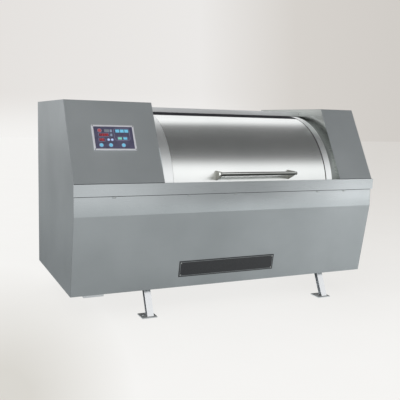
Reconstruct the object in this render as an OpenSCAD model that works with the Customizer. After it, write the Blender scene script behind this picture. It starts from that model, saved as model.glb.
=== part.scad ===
// Horizontal industrial washing machine: cabinet on four legs, wash drum, sliding outer door and belt drive.
// The origin is on the floor, midway along the length and the depth, with the front facing -Y.

/* [Cabinet] */
// Length of the cabinet over its end panels
cabinet_l = 2500; // [2400:10:2700]
// Depth left behind the door's circle
back_room = 32; // [26:1:60]
// Height of the cabinet's top above the door's circle
top_room = 65; // [60:1:90]
// Height of the bottom edge above the floor
leg_h = 200; // [180:5:260]
// Width of the box at the left
left_box_w = 651; // [640:1:700]
// Width of the box at the right
right_box_w = 322; // [310:1:380]
// Thickness of the cabinet sheets
sheet_t = 2; // [1.5:0.5:3]
// How far the belly stands in front of the bottom edge
belly_out = 104; // [90:1:115]
// How far the top's front edge lies behind the belly
top_setback = 310; // [290:1:330]
// Height of the apron's crease below the drum's axis
crease_drop = 89; // [60:1:160]
// How far the crease lies behind the belly
crease_in = 4; // [3:0.5:8]
// Height of the band's lower edge above the drum's axis
band_rise = 48; // [36:1:56]
// Height of the band
band_h = 85; // [75:1:95]
// How far the band's face stands in front of the apron
band_proud = 6; // [4:0.5:8]
// How far the band runs past the right end
band_overhang = 16; // [8:1:24]
// Drop of the centre cover below the tops of the boxes
rail_drop = 19; // [10:1:24]
// Height of the centre cover's front face
rail_h = 38; // [30:1:40]

/* [Drum and tub] */
// Outer radius of the curved door and its rings
door_r = 634; // [600:1:680]
// Distance of the door's circle behind the belly
door_in = 6; // [5:1:20]
// Height of the door's circle above the cabinet's bottom edge
door_low = 31; // [26:1:40]
// Thickness of the door and ring sheets
door_t = 3; // [2:0.5:4]
// Gap between the door's circle and the tub, on the radius
tub_gap = 34; // [32:0.5:40]
// Thickness of the tub shell
tub_t = 3; // [2:0.5:4]
// Thickness of a tub end
tub_end_t = 6; // [5:1:8]
// Width of the left guide ring
ring_w_left = 75; // [70:1:80]
// Width of the right guide ring
ring_w_right = 63; // [60:1:75]
// Distance from the right ring to the right box
recess_w = 68; // [60:1:80]
// Gap between the outsides of the tub and the drum, on the radius
drum_gap = 40; // [38:1:50]
// Thickness of the drum shell
drum_t = 3; // [3:0.5:4]
// Thickness of a drum end
drum_end_t = 8; // [6:1:10]
// Gap between a drum end and the tub end
drum_side_gap = 55; // [45:1:70]
// Height of a lifter inside the drum
lifter_h = 88; // [60:1:100]
// Radius of the drum's stub shafts
shaft_r = 60; // [55:1:65]

/* [Outer door] */
// Angle of the closed door's lower edge above the front of the axis
door_a0 = 11; // [10:0.5:12]
// Angle of the closed door's upper edge
door_a1 = 97; // [96:0.5:100]
// Angle of the lower edge of the window in the tub
window_a0 = 15; // [14:0.5:18]
// Angle of the upper edge of the window in the tub
window_a1 = 90; // [86:0.5:91]
// Angle of the handle bar
handle_a = 15.5; // [15:0.1:17]
// Distance of the handle bar from the door's sheet
handle_out = 96; // [84:1:101]
// Radius of the handle bar
handle_bar_r = 12; // [9:0.5:14]
// Length of the handle between its brackets
handle_l = 632; // [500:2:700]
// Distance of the handle from the door's left edge
handle_x = 338; // [300:2:380]
// Width of the black seal at the door's right edge
seal_w = 8; // [6:0.5:8.5]

/* [Drum doors] */
// Half angle of each opening in the drum
hatch_half_a = 18; // [14:0.5:19]
// Angle of the middle of each opening at rest
hatch_a = 45; // [44:0.5:46]
// Length of each opening in the drum
hatch_l = 520; // [400:5:540]
// How far a drum door overlaps its opening on each side
hatch_lap = 18; // [12:1:24]
// Thickness of a drum door
hatch_t = 3; // [2:0.5:4]

/* [Drive] */
// How much smaller the drum pulley is than the door's circle, on the radius
pulley_in = 254; // [248:1:280]
// Radius of the jackshaft's small pulley
jack_small_r = 65; // [60:1:68]
// Radius of the jackshaft's large pulley
jack_large_r = 200; // [190:1:205]
// Radius of the motor pulley
motor_pulley_r = 50; // [45:1:60]
// Radius of the jackshaft
jack_shaft_r = 25; // [22:1:30]
// Clear distance between the drum pulley and the small pulley that drives it
jack_gap = 41; // [36:1:50]
// Distance of the motor in front of the drum's axis
motor_front = 287; // [270:1:290]
// Height of the motor's shaft above its base
motor_h = 132; // [130:1:140]
// Radius of the motor's body over its fins
motor_r = 122; // [110:1:124]
// Depth of a belt groove
groove_d = 11; // [9:0.5:12]
// Distance between belt grooves
groove_pitch = 19; // [18:0.5:20]

/* [Frame and legs] */
// Height of the frame rails
rail_tube_h = 80; // [70:1:90]
// Width of the frame rails
rail_tube_w = 80; // [70:1:84]
// Width of the cross members
cross_w = 60; // [50:1:60]
// Wall of the frame tubes
tube_t = 5; // [3:0.5:6]
// Distance of the left legs from the left end
leg_x_left = 560; // [555:1:600]
// Distance from the right legs to the right end
leg_x_right = 340; // [320:5:400]
// Width of a leg's channel
leg_w = 50; // [45:1:60]
// Depth of a leg's channel
leg_d = 45; // [40:1:55]
// Thickness of a leg's channel
leg_t = 5; // [4:0.5:6]
// How far a leg's foot is splayed outwards
leg_splay = 92; // [70:1:100]
// Side of a foot plate
foot_w = 116; // [108:1:130]
// Thickness of a foot plate
foot_t = 8; // [6:1:12]
// Radius of the anchor hole in a foot plate
anchor_r = 8; // [6:0.5:9]

/* [Control panel] */
// Distance of the control panel from the left end
panel_x = 172; // [150:1:200]
// Distance of the control panel from the band, up the slope
panel_s = 251; // [230:1:270]
// Width of the control panel
panel_w = 307; // [300:1:320]
// Height of the control panel along the slope
panel_h = 196; // [190:1:205]
// Width of the panel's silver frame
frame_w = 12; // [10:1:16]
// Height of the frame above the hood
frame_h = 9; // [8:0.5:12]
// Travel of a key
key_travel = 1.5; // [1:0.1:1.8]

/* [Water and steam] */
// Outer radius of the drain pipe
drain_r = 70; // [60:1:74]
// Wall of the drain pipe
drain_t = 4; // [3:0.5:5]
// Outer radius of the inlet pipes
inlet_r = 16.5; // [15:0.5:18]
// Wall of the inlet pipes
inlet_t = 3; // [2:0.5:4]
// How far the pipes stand out behind the cabinet
stub_l = 78; // [70:1:90]
// Distance from the drain pipe's middle to the right legs
drain_to_leg = 192; // [180:2:240]
// Distance of the water pipe's straight run from the right wall
water_x = 120; // [112:2:130]
// Distance of the steam pipe's straight run from the right wall
steam_x = 190; // [180:2:210]

/* [Fits] */
// Gap between a shaft and its bearing, on the radius
run_fit = 0.05; // [0.03:0.01:0.08]
// Gap between the shoes and their track
slide_gap = 0.5; // [0.4:0.1:0.8]
// Gap between fixed pieces that are bolted in place
seat_gap = 0.3; // [0.2:0.1:0.4]
// Gap round a key in its hole
key_gap = 0.4; // [0.3:0.1:0.5]

/* [Hidden] */
$fn = 96;

steel = "#a9afae";
bright = "#c9cdcd";
dark_steel = "#7c8281";
paint = "#4b5257";
rubber = "#1b1b20";

// Sizes that follow the door's circle
axis_in = door_r + door_in;
axis_h = door_r + door_low;
cabinet_d = axis_in + door_r + back_room;
cabinet_h = axis_h + door_r + top_room;
tub_r = door_r - tub_gap;
drum_r = tub_r - drum_gap;
handle_r = door_r + handle_out;
drum_pulley_r = door_r - pulley_in;

// Limits of the cabinet
x_left = -(cabinet_l + band_overhang) / 2;
x_right = x_left + cabinet_l;
x_wall_left = x_left + left_box_w;
x_wall_right = x_right - right_box_w;
y_belly = -cabinet_d / 2;
y_back = cabinet_d / 2;
y_low = y_belly + belly_out;
y_top = y_belly + top_setback;
y_face = y_belly + band_proud;
y_crease = y_belly + crease_in;
z_low = leg_h;
z_top = leg_h + cabinet_h;
axis_y = y_belly + axis_in;
axis_z = leg_h + axis_h;
z_band0 = axis_z + band_rise;
z_band1 = z_band0 + band_h;
z_crease = axis_z - crease_drop;

// Side outline of the end panels, as points of Y and Z, counter-clockwise
outline = [
    [y_low, z_low], [y_back, z_low], [y_back, z_top], [y_top, z_top], [y_belly, z_band1], [y_face, z_band1],
    [y_face, z_band0], [y_crease, z_crease]
];
function unit(v) = v / norm(v);
function inward(a, b) = let (d = unit(b - a)) [-d[1], d[0]];
function inset(p, t) = [
    for (i = [0 : len(p) - 1])
        let (n = len(p), a = inward(p[(i + n - 1) % n], p[i]), b = inward(p[i], p[(i + 1) % n]))
            p[i] + t * (a + b) / (1 + a * b)
];

// Slope of the hoods
slope_run = y_top - y_belly;
slope_rise = z_top - z_band1;
slope_a = atan2(slope_rise, slope_run);
slope_l = norm([slope_run, slope_rise]);

// Places along X
x_door0 = x_wall_left + ring_w_left;
x_door1 = x_wall_right - recess_w - ring_w_right;
x_drum0 = x_wall_left + tub_end_t + drum_side_gap;
x_drum1 = x_wall_right - tub_end_t - drum_side_gap;
x_mid = (x_drum0 + x_drum1) / 2;

// Frame
y_rail_front = y_low + 30;
y_rail_back = y_back - 30 - rail_tube_w;
y_cross0 = y_rail_front + rail_tube_w;
y_cross1 = y_rail_back;
z_rail = z_low + rail_tube_h;
cross_x = [
    x_left + 20, x_wall_left - sheet_t - seat_gap - cross_w, x_wall_right + sheet_t + seat_gap,
    x_right - 20 - cross_w
];

// Bearing stands and shafts
stand_t = 20;
housing_flange_t = 20;
housing_l = 90;
housing_r = 110;
bearing_r = 95;
bearing_w = 60;
bearing_in = 18;
flange_r = 150;
shaft_end_r = 50;
seal_r = 90;
pulley_hub_r = 85;

// Drive, along X from the left wall's face towards the left
drum_plane = 180;
pulley_w = 5 * groove_pitch + 8;
motor_plane = 291;
motor_pulley_w = 3 * groove_pitch + 8;
jack_reach = drum_pulley_r + jack_small_r + jack_gap;
jack_y = axis_y + jack_reach * cos(45);
jack_z = axis_z - jack_reach * sin(45);
motor_y = axis_y - motor_front;
motor_base_z = z_low + 40;
motor_z = motor_base_z + motor_h;
motor_base_x = x_left + 120;
motor_base_w = 150;
motor_base_h = 100;
motor_x0 = cross_x[0] + cross_w + 5;
motor_x1 = motor_x0 + 233;
jack_x0 = x_left + 230;
jack_x1 = x_wall_left - 36;
bracket_z = z_rail + 10;

// Guide of the outer door, measured outwards from the door's edge
web_e = 10;
lip_in = 15;
lip_r = door_r - 16;
lip_t = 3;
shoe_in = 33;
shoe_out = 4;
ring_a0 = 8.5;
ring_a1 = 168;

// Control panel
key_r = 13;
small_key_r = 8;
key_h = 9;
face_t = 5;
key_low_s = 40;
key_small_s = 82;
key_sink = key_travel + 0.1;

// Drain
leg_right = x_right - leg_x_right - leg_w;
drain_x = leg_right - drain_to_leg;
drain_y = axis_y + 120;
drain_bend_r = 90;
valve_h = 50;
spigot_step = 1;
valve_z1 = z_rail - 45;
valve_z0 = valve_z1 - valve_h;
drain_z = valve_z0 - drain_bend_r;

module along_x(x0, x1) {
    translate([x0, 0, 0]) rotate([90, 0, 90]) linear_extrude(x1 - x0) children();
}

module box(x0, x1, y0, y1, z0, z1) {
    translate([x0, y0, z0]) cube([x1 - x0, y1 - y0, z1 - z0]);
}

// Round bar or disc along X at a place in Y and Z
module rod(x0, x1, y, z, r) {
    translate([x0, y, z]) rotate([0, 90, 0]) cylinder(h = x1 - x0, r = r);
}

// Round bar on the drum's axis
module disc(x0, x1, r) {
    rod(x0, x1, axis_y, axis_z, r);
}

// Turns a shape drawn with its radius along X and its width along Y into an arc round the drum's axis,
// with angles from the front and upwards
module arc_of(a0, a1) {
    translate([0, axis_y, axis_z]) rotate([90, 0, -90]) rotate([0, 0, a0])
        rotate_extrude(angle = a1 - a0) children();
}

// Curved bar from x0 to x1 and r0 to r1
module arc_bar(x0, x1, r0, r1, a0, a1) {
    arc_of(a0, a1) polygon([[r0, -x0], [r0, -x1], [r1, -x1], [r1, -x0]]);
}

// Frame of a part that lies at an angle round the drum's axis: X along the machine, Z outwards
module at_angle(a) {
    translate([0, axis_y, axis_z]) rotate([90 - a, 0, 0]) children();
}

// Frame of the hood's slope: X from the left end, Y up the slope from the band, Z outwards
module on_slope() {
    translate([x_left, y_belly, z_band1]) rotate([slope_a, 0, 0]) children();
}

module square_tube_x(x0, x1, y, z, w, h) {
    difference() {
        box(x0, x1, y, y + w, z, z + h);
        box(x0 - 1, x1 + 1, y + tube_t, y + w - tube_t, z + tube_t, z + h - tube_t);
    }
}

module frame_rails() {
    color(paint) for (y = [y_rail_front, y_rail_back])
        square_tube_x(x_left + sheet_t, x_right - sheet_t, y, z_low, rail_tube_w, rail_tube_h);
}

module frame_cross_members() {
    color(paint) for (x = cross_x) difference() {
        box(x, x + cross_w, y_cross0, y_cross1, z_low, z_rail);
        box(x + tube_t, x + cross_w - tube_t, y_cross0 - 1, y_cross1 + 1, z_low + tube_t, z_rail - tube_t);
    }
}

// Sloping plate of a front leg, from the rail down to the foot plate
module leg_plate(x0, x1, y_from, y_to) {
    along_x(x0, x1) polygon([
        [y_low + 60 + y_from - leg_splay, foot_t], [y_low + 60 + y_to - leg_splay, foot_t],
        [y_low + 60 + y_to, z_low], [y_low + 60 + y_from, z_low]
    ]);
}

module front_leg(x) {
    color(bright) {
        leg_plate(x, x + leg_w, 0, leg_t);
        leg_plate(x, x + leg_w, leg_d - leg_t, leg_d);
        leg_plate(x + leg_w - leg_t, x + leg_w, 0, leg_d);
        difference() {
            box(x - 45, x - 45 + foot_w, y_low - 50, y_low - 50 + foot_w, 0, foot_t);
            translate([x - 22, y_low + 8, -1]) cylinder(h = foot_t + 2, r = anchor_r);
        }
    }
}

module leg_front_left() {
    front_leg(x_left + leg_x_left);
}

module leg_front_right() {
    front_leg(leg_right);
}

module leg_rear_left() {
    mirror([0, 1, 0]) translate([0, -y_low - y_back, 0]) front_leg(x_left + leg_x_left);
}

module leg_rear_right() {
    mirror([0, 1, 0]) translate([0, -y_low - y_back, 0]) front_leg(leg_right);
}

// Downward channel that carries the motor, from rail to rail
module motor_base() {
    x0 = motor_base_x;
    x1 = x0 + motor_base_w;
    wall = 8;
    color(paint) difference() {
        box(x0, x1, y_cross0, y_cross1, motor_base_z - motor_base_h, motor_base_z);
        box(x0 + wall, x1 - wall, y_cross0 + wall, y_cross1 - wall, motor_base_z - motor_base_h - 1,
            motor_base_z - wall);
    }
}

// One pedestal of the jackshaft
module pedestal(x0, x1) {
    eye_r = 48;
    difference() {
        union() {
            along_x(x0, x1) polygon([
                [jack_y - 110, bracket_z], [jack_y + 110, bracket_z], [jack_y + eye_r, jack_z],
                [jack_y - eye_r, jack_z]
            ]);
            rod(x0, x1, jack_y, jack_z, eye_r);
        }
        rod(x0 - 1, x1 + 1, jack_y, jack_z, jack_shaft_r + run_fit);
    }
}

module jackshaft_bracket() {
    color(paint) {
        box(cross_x[0], cross_x[1] + 12, jack_y - 130, jack_y + 130, z_rail, bracket_z);
        pedestal(jack_x0 + 15, jack_x0 + 50);
        pedestal(jack_x1 - 55, jack_x1 - 20);
    }
}

module left_end_panel() {
    color(steel) along_x(x_left, x_left + sheet_t) polygon(outline);
}

module right_end_panel() {
    color(steel) along_x(x_right - sheet_t, x_right) polygon(outline);
}

// Folded sheet of one box: the slanted front and the top
module hood(x0, x1) {
    inner = inset(outline, sheet_t);
    along_x(x0, x1) polygon([outline[4], inner[4] + [0, sheet_t], inner[3], inner[2], outline[2], outline[3]]);
}

module left_hood() {
    color(steel) difference() {
        hood(x_left + sheet_t, x_wall_left);
        on_slope() translate([panel_x + frame_w, panel_s + frame_w, -2 * sheet_t])
            cube([panel_w - 2 * frame_w, panel_h - 2 * frame_w, 4 * sheet_t]);
    }
}

module right_hood() {
    color(steel) hood(x_wall_right, x_right - sheet_t);
}

// Wall of a box towards the drum
module inner_wall(x0) {
    difference() {
        along_x(x0, x0 + sheet_t) polygon(inset(outline, sheet_t + seat_gap));
        disc(x0 - 1, x0 + sheet_t + 1, housing_r + seat_gap);
        for (y = [y_rail_front, y_rail_back])
            box(x0 - 1, x0 + sheet_t + 1, y - seat_gap, y + rail_tube_w + seat_gap, z_low - 1, z_rail + seat_gap);
    }
}

module left_inner_wall() {
    color(steel) inner_wall(x_wall_left - sheet_t);
}

module right_inner_wall() {
    color(bright) difference() {
        inner_wall(x_wall_right);
        for (p = inlet_places) rod(x_wall_right - 1, x_wall_right + sheet_t + 1, p[0], p[1], inlet_r + seat_gap);
    }
}

// Channel-shaped trim below the door
module front_band() {
    color(bright) along_x(x_left, x_right + band_overhang) polygon([
        [y_belly, z_band0], [y_face, z_band0], [y_face, z_band0 + sheet_t], [y_belly + sheet_t, z_band0 + sheet_t],
        [y_belly + sheet_t, z_band1 - sheet_t], [y_face, z_band1 - sheet_t], [y_face, z_band1], [y_belly, z_band1]
    ]);
}

// Creased sheet from behind the band to the bottom edge, with a lip under the front rail
module front_apron() {
    inner = inset(outline, sheet_t);
    color(steel) along_x(x_left + sheet_t, x_right - sheet_t) polygon([
        outline[0], [y_rail_front - seat_gap, z_low], [y_rail_front - seat_gap, z_low + sheet_t], inner[0], inner[7],
        [y_face + sheet_t, inner[6][1]], [y_face + sheet_t, z_band1 - sheet_t], [y_face, z_band1 - sheet_t],
        outline[6], outline[7]
    ]);
}

module rear_panels() {
    y0 = y_back - sheet_t;
    z0 = z_low;
    color(steel) {
        box(x_left + sheet_t, x_wall_left - 1, y0, y_back, z0, z_top - sheet_t);
        box(x_wall_left + 1, x_wall_right - 1, y0, y_back, z0, z_top - rail_drop - sheet_t);
        difference() {
            box(x_wall_right + 1, x_right - sheet_t, y0, y_back, z0, z_top - sheet_t);
            for (p = inlet_places) translate([p[2], y0 - 1, p[1]]) rotate([-90, 0, 0])
                cylinder(h = sheet_t + 2, r = inlet_r + seat_gap);
        }
    }
}

// Cover over the rear of the door, with its front face above the seal
module centre_top_cover() {
    y0 = axis_y + 4;
    z1 = z_top - rail_drop;
    lip = 24;
    color(bright) along_x(x_wall_left, x_wall_right) polygon([
        [y0, z1], [y0, z1 - rail_h], [y0 + lip, z1 - rail_h], [y0 + lip, z1 - rail_h + sheet_t],
        [y0 + sheet_t, z1 - rail_h + sheet_t], [y0 + sheet_t, z1 - sheet_t], [y_back, z1 - sheet_t], [y_back, z1]
    ]);
}

// Rubber strip that wipes the top of the door
module top_seal() {
    y0 = axis_y - 30;
    color(rubber) difference() {
        box(x_wall_left, x_wall_right, y0, y0 + 56, axis_z + door_r - 6, z_top - rail_drop - rail_h);
        disc(x_wall_left - 1, x_wall_right + 1, door_r + slide_gap, $fn = 720);
    }
}

module tub_shell() {
    x0 = x_wall_left + tub_end_t;
    x1 = x_wall_right - tub_end_t;
    color(dark_steel) difference() {
        disc(x0, x1, tub_r);
        disc(x0 - 1, x1 + 1, tub_r - tub_t);
        arc_bar(x_door0 + 12, x_door1 - 12, tub_r - 40, tub_r + 40, window_a0, window_a1);
        translate([drain_x, drain_y, z_low]) cylinder(h = axis_z - z_low, r = drain_r - drain_t);
    }
}

module tub_end(x0) {
    difference() {
        disc(x0, x0 + tub_end_t, tub_r);
        disc(x0 - 1, x0 + tub_end_t + 1, seal_r);
    }
}

module tub_ends() {
    color(dark_steel) {
        tub_end(x_wall_left);
        difference() {
            tub_end(x_wall_right - tub_end_t);
            for (p = inlet_places)
                rod(x_wall_right - tub_end_t - 1, x_wall_right + 1, p[0], p[1], inlet_r + seat_gap);
        }
    }
}

// Section of a guide ring: cover, web with the lip that the shoes grip, and closing flange
module ring_section(w, gap) {
    polygon([
        [door_r, gap], [door_r, w], [tub_r, w], [tub_r, w - door_t], [door_r - door_t, w - door_t],
        [door_r - door_t, web_e + door_t], [tub_r, web_e + door_t], [tub_r, web_e], [lip_r - lip_t, web_e],
        [lip_r - lip_t, -lip_in], [lip_r, -lip_in], [lip_r, web_e], [door_r - door_t, web_e],
        [door_r - door_t, gap]
    ]);
}

module guide_ring_left() {
    color(bright) arc_of(ring_a0, ring_a1) translate([0, -x_door0]) ring_section(ring_w_left, 1.5);
}

module guide_ring_right() {
    color(bright) arc_of(ring_a0, ring_a1) mirror([0, 1]) translate([0, x_door1])
        ring_section(ring_w_right, seal_w + 1);
}

// Tapered plate that carries one bearing housing
module bearing_stand(x0) {
    foot = 420;
    head = 190;
    top = axis_z + 210;
    difference() {
        along_x(x0, x0 + stand_t) polygon([
            [axis_y - foot, z_rail], [axis_y + foot, z_rail], [axis_y + head, top], [axis_y - head, top]
        ]);
        disc(x0 - 1, x0 + stand_t + 1, housing_r + seat_gap);
    }
}

module bearing_stands() {
    color(paint) {
        bearing_stand(x_wall_left - sheet_t - stand_t - seat_gap);
        bearing_stand(x_wall_right + sheet_t + seat_gap);
    }
}

// Flanged housing whose face lies on the stand, pointing away from the drum
module bearing_housing(x0, dir) {
    x_far = x0 + dir * housing_l;
    x_flange = x0 + dir * housing_flange_t;
    difference() {
        union() {
            disc(min(x0, x_far), max(x0, x_far), housing_r);
            disc(min(x0, x_flange), max(x0, x_flange), flange_r);
        }
        disc(min(x0, x_far) - 1, max(x0, x_far) + 1, shaft_r + 4);
        disc(min(x0 + dir * bearing_in, x0 + dir * (bearing_in + bearing_w)),
            max(x0 + dir * bearing_in, x0 + dir * (bearing_in + bearing_w)), bearing_r + run_fit);
        for (a = [22.5 : 45 : 337.5])
            rod(min(x0, x_flange) - 1, max(x0, x_flange) + 1, axis_y + 131 * cos(a), axis_z + 131 * sin(a), 9);
    }
}

housing_x_left = x_wall_left - sheet_t - stand_t - 2 * seat_gap;
housing_x_right = x_wall_right + sheet_t + stand_t + 2 * seat_gap;

module bearing_housings() {
    color(paint) {
        bearing_housing(housing_x_left, -1);
        bearing_housing(housing_x_right, 1);
    }
}

module drum_bearing(x0) {
    difference() {
        disc(x0 + run_fit, x0 + bearing_w - run_fit, bearing_r);
        disc(x0 - 1, x0 + bearing_w + 1, shaft_r + run_fit);
        for (s = [-1, 1]) arc_of(0, 360) translate([(bearing_r + shaft_r) / 2, -(x0 + bearing_w / 2 + s * 30)])
            square([10, 8], center = true);
    }
}

module drum_bearings() {
    color(bright) {
        drum_bearing(housing_x_left - bearing_in - bearing_w);
        drum_bearing(housing_x_right + bearing_in);
    }
}

module shaft_seal(x0) {
    difference() {
        disc(x0, x0 + tub_end_t + 4, seal_r - 0.1);
        disc(x0 - 1, x0 + tub_end_t + 5, shaft_r + run_fit);
    }
}

module shaft_seals() {
    color(rubber) {
        shaft_seal(x_wall_left);
        shaft_seal(x_wall_right - tub_end_t - 4);
    }
}

// Finned motor body with end shields, feet and a terminal box
module motor_housing() {
    fins = 24;
    core_r = motor_r - 16;
    shaft_hole = 20 + run_fit;
    bore_r = core_r - 14;
    color(paint) difference() {
        union() {
            rod(motor_x0 + 40, motor_x1 - 20, motor_y, motor_z, core_r);
            for (i = [0 : fins - 1]) translate([0, motor_y, motor_z]) rotate([i * 360 / fins, 0, 0])
                box(motor_x0 + 50, motor_x1 - 40, -2, 2, core_r - 4, motor_r);
            rod(motor_x1 - 38, motor_x1 - 18, motor_y, motor_z, motor_r - 2);
            rod(motor_x0, motor_x0 + 42, motor_y, motor_z, motor_r - 2);
            for (s = [-1, 1]) box(motor_base_x + 10, motor_base_x + motor_base_w - 10, motor_y + s * 95 - 25,
                motor_y + s * 95 + 25, motor_base_z, motor_base_z + 60);
            box(motor_x0 + 80, motor_x0 + 180, motor_y - 55, motor_y + 55, motor_z + core_r - 10,
                motor_z + motor_r + 45);
        }
        rod(motor_x0 + 3, motor_x1 - 30, motor_y, motor_z, bore_r);
        rod(motor_x1 - 31, motor_x1, motor_y, motor_z, shaft_hole);
    }
}

// Pulley rim with its row of grooves, drawn as a half section
module pulley_section(r, w, hub_r, bore, rim, web) {
    count = floor((w - 8) / groove_pitch + 0.01);
    difference() {
        translate([bore, -w / 2]) square([r - bore, w]);
        for (i = [0 : count - 1]) translate([r, (i - (count - 1) / 2) * groove_pitch]) polygon([
            [-groove_d - 2, -3.6], [-groove_d - 2, 3.6], [1, 7.6], [1, -7.6]
        ]);
        for (s = [-1, 1]) if (r - rim > hub_r) translate([hub_r, s > 0 ? web / 2 : -w / 2 - 1])
            square([r - rim - hub_r, w / 2 - web / 2 + 1]);
    }
}

module pulley(x, y, z, r, w, hub_r, bore, rim, web) {
    translate([x, y, z]) rotate([0, 90, 0]) rotate_extrude() pulley_section(r, w, hub_r, bore, rim, web);
}

module motor_rotor() {
    color(bright) {
        rod(motor_x0 + 20, motor_x1 - 40, motor_y, motor_z, 60);
        rod(motor_x0 + 8, x_wall_left - motor_plane + motor_pulley_w / 2 + 6, motor_y, motor_z, 20);
        pulley(x_wall_left - motor_plane, motor_y, motor_z, motor_pulley_r, motor_pulley_w, 40, 15, 18, 12);
    }
}

// Belt loop round two pulleys, as a flat outline in Y and Z that is made from circles and a band
module loop_outline(a, ra, b, rb) {
    d = norm(b - a);
    u = (b - a) / d;
    lean = asin((ra - rb) / d);
    base = atan2(u[1], u[0]);
    up = base + 90 - lean;
    down = base - 90 + lean;
    in_a = ra - 0.2;
    in_b = rb - 0.2;
    union() {
        translate(a) circle(ra);
        translate(b) circle(rb);
        polygon([
            a + in_a * [cos(up), sin(up)], a + in_a * [cos(down), sin(down)],
            b + in_b * [cos(down), sin(down)], b + in_b * [cos(up), sin(up)]
        ]);
    }
}

// Row of belts whose inner faces clear the groove floors
module belts(x, count, a, ra, b, rb) {
    belt_w = 8.8;
    for (i = [0 : count - 1]) {
        x0 = x + (i - (count - 1) / 2) * groove_pitch - belt_w / 2;
        difference() {
            along_x(x0, x0 + belt_w) loop_outline(a, ra + 1.5, b, rb + 1.5);
            along_x(x0 - 1, x0 + belt_w + 1) loop_outline(a, ra - groove_d + 2, b, rb - groove_d + 2);
        }
    }
}

module motor_belts() {
    color(rubber) belts(x_wall_left - motor_plane, 3, [motor_y, motor_z], motor_pulley_r, [jack_y, jack_z],
        jack_large_r);
}

module drum_belts() {
    color(rubber) belts(x_wall_left - drum_plane, 5, [jack_y, jack_z], jack_small_r, [axis_y, axis_z],
        drum_pulley_r);
}

module jackshaft() {
    color(bright) {
        rod(jack_x0, jack_x1, jack_y, jack_z, jack_shaft_r);
        pulley(x_wall_left - motor_plane, jack_y, jack_z, jack_large_r, motor_pulley_w, 50, 20, 30, 14);
        pulley(x_wall_left - drum_plane, jack_y, jack_z, jack_small_r, pulley_w, 40, 20, 22, 60);
    }
}

// Opening of the drum for one compartment
module hatch_cut(x_centre, r0, r1) {
    arc_bar(x_centre - hatch_l / 2, x_centre + hatch_l / 2, r0, r1, hatch_a - hatch_half_a,
        hatch_a + hatch_half_a);
}

hatch_x = [(x_drum0 + x_mid) / 2, (x_mid + x_drum1) / 2];
hatch_lap_a = hatch_lap / drum_r * 180 / PI;
hatch_travel = 2 * hatch_half_a + 2 * hatch_lap_a + 1;
hatch_r0 = drum_r + slide_gap;

module drum_shell() {
    color(bright) difference() {
        disc(x_drum0, x_drum1, drum_r);
        disc(x_drum0 - 1, x_drum1 + 1, drum_r - drum_t);
        for (x = hatch_x) hatch_cut(x, drum_r - 30, drum_r + 30);
    }
}

// Folded rails that hold the ends of each drum door and let it slide round the drum
module drum_door_guides() {
    rail_w = 6;
    rail_lip = 8;
    rail_t = hatch_t;
    under = hatch_r0 + hatch_t + slide_gap;
    color(bright) for (x = hatch_x) for (s = [-1, 1]) {
        edge = x + s * (hatch_l / 2 + hatch_lap);
        arc_of(hatch_a - hatch_half_a - 4, hatch_a + hatch_half_a + hatch_travel + 1) polygon([
            [drum_r + seat_gap, -(edge + s * slide_gap)], [drum_r + seat_gap, -(edge + s * rail_w)],
            [under + rail_t, -(edge + s * rail_w)], [under + rail_t, -(edge - s * rail_lip)],
            [under, -(edge - s * rail_lip)], [under, -(edge + s * slide_gap)]
        ]);
    }
}

module drum_ends() {
    color(bright) for (x = [x_drum0, x_mid - drum_end_t / 2, x_drum1 - drum_end_t])
        disc(x, x + drum_end_t, drum_r - drum_t - 0.1);
}

// Four folded ribs in each compartment
module drum_lifters() {
    base_r = drum_r - drum_t - 0.1;
    tip_r = base_r - lifter_h;
    color(bright) for (i = [0, 1]) for (a = [0, 90, 180, 270]) {
        x0 = i == 0 ? x_drum0 + drum_end_t + 0.2 : x_mid + drum_end_t / 2 + 0.2;
        x1 = i == 0 ? x_mid - drum_end_t / 2 - 0.2 : x_drum1 - drum_end_t - 0.2;
        intersection() {
            disc(x0, x1, base_r);
            at_angle(a) along_x(x0, x1) polygon([
                [-60, base_r + 5], [-18, tip_r + 8], [-10, tip_r], [10, tip_r], [18, tip_r + 8], [60, base_r + 5]
            ]);
        }
    }
}

module drum_shafts() {
    spigot = 30;
    color(bright) {
        disc(x_drum0 - spigot, x_drum0 - 0.1, 180);
        disc(housing_x_left - housing_l - 6, x_drum0 - 0.1, shaft_r);
        disc(x_wall_left - drum_plane - pulley_w / 2 - 12, x_drum0 - 0.1, shaft_end_r);
        disc(x_drum1 + 0.1, x_drum1 + spigot, 180);
        disc(x_drum1 + 0.1, housing_x_right + housing_l + 6, shaft_r);
    }
}

// Large grooved pulley with six round openings in its web
module drum_pulley() {
    hole_at = (drum_pulley_r - 40 + pulley_hub_r) / 2;
    color(dark_steel) difference() {
        pulley(x_wall_left - drum_plane, axis_y, axis_z, drum_pulley_r, pulley_w, pulley_hub_r,
            shaft_end_r + run_fit, 40, 18);
        for (i = [0 : 5])
            rod(x_wall_left - drum_plane - 20, x_wall_left - drum_plane + 20, axis_y + hole_at * cos(60 * i),
                axis_z + hole_at * sin(60 * i), 75);
    }
}

latch_boss_r = 22;

module drum_door(x) {
    color(steel) difference() {
        union() {
            arc_bar(x - hatch_l / 2 - hatch_lap, x + hatch_l / 2 + hatch_lap, hatch_r0, hatch_r0 + hatch_t,
                hatch_a - hatch_half_a - hatch_lap_a, hatch_a + hatch_half_a + hatch_lap_a);
            for (a = [hatch_a - hatch_half_a / 2, hatch_a + hatch_half_a / 2])
                arc_bar(x - hatch_l / 2 + 20, x + hatch_l / 2 - 20, hatch_r0 + hatch_t - 0.5,
                    hatch_r0 + hatch_t + 5, a - 0.4, a + 0.4);
        }
        at_angle(hatch_a) translate([x, 0, drum_r - 10]) cylinder(h = 30, r = 8 + run_fit);
    }
}

module drum_door_left() {
    drum_door(hatch_x[0]);
}

module drum_door_right() {
    drum_door(hatch_x[1]);
}

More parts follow.
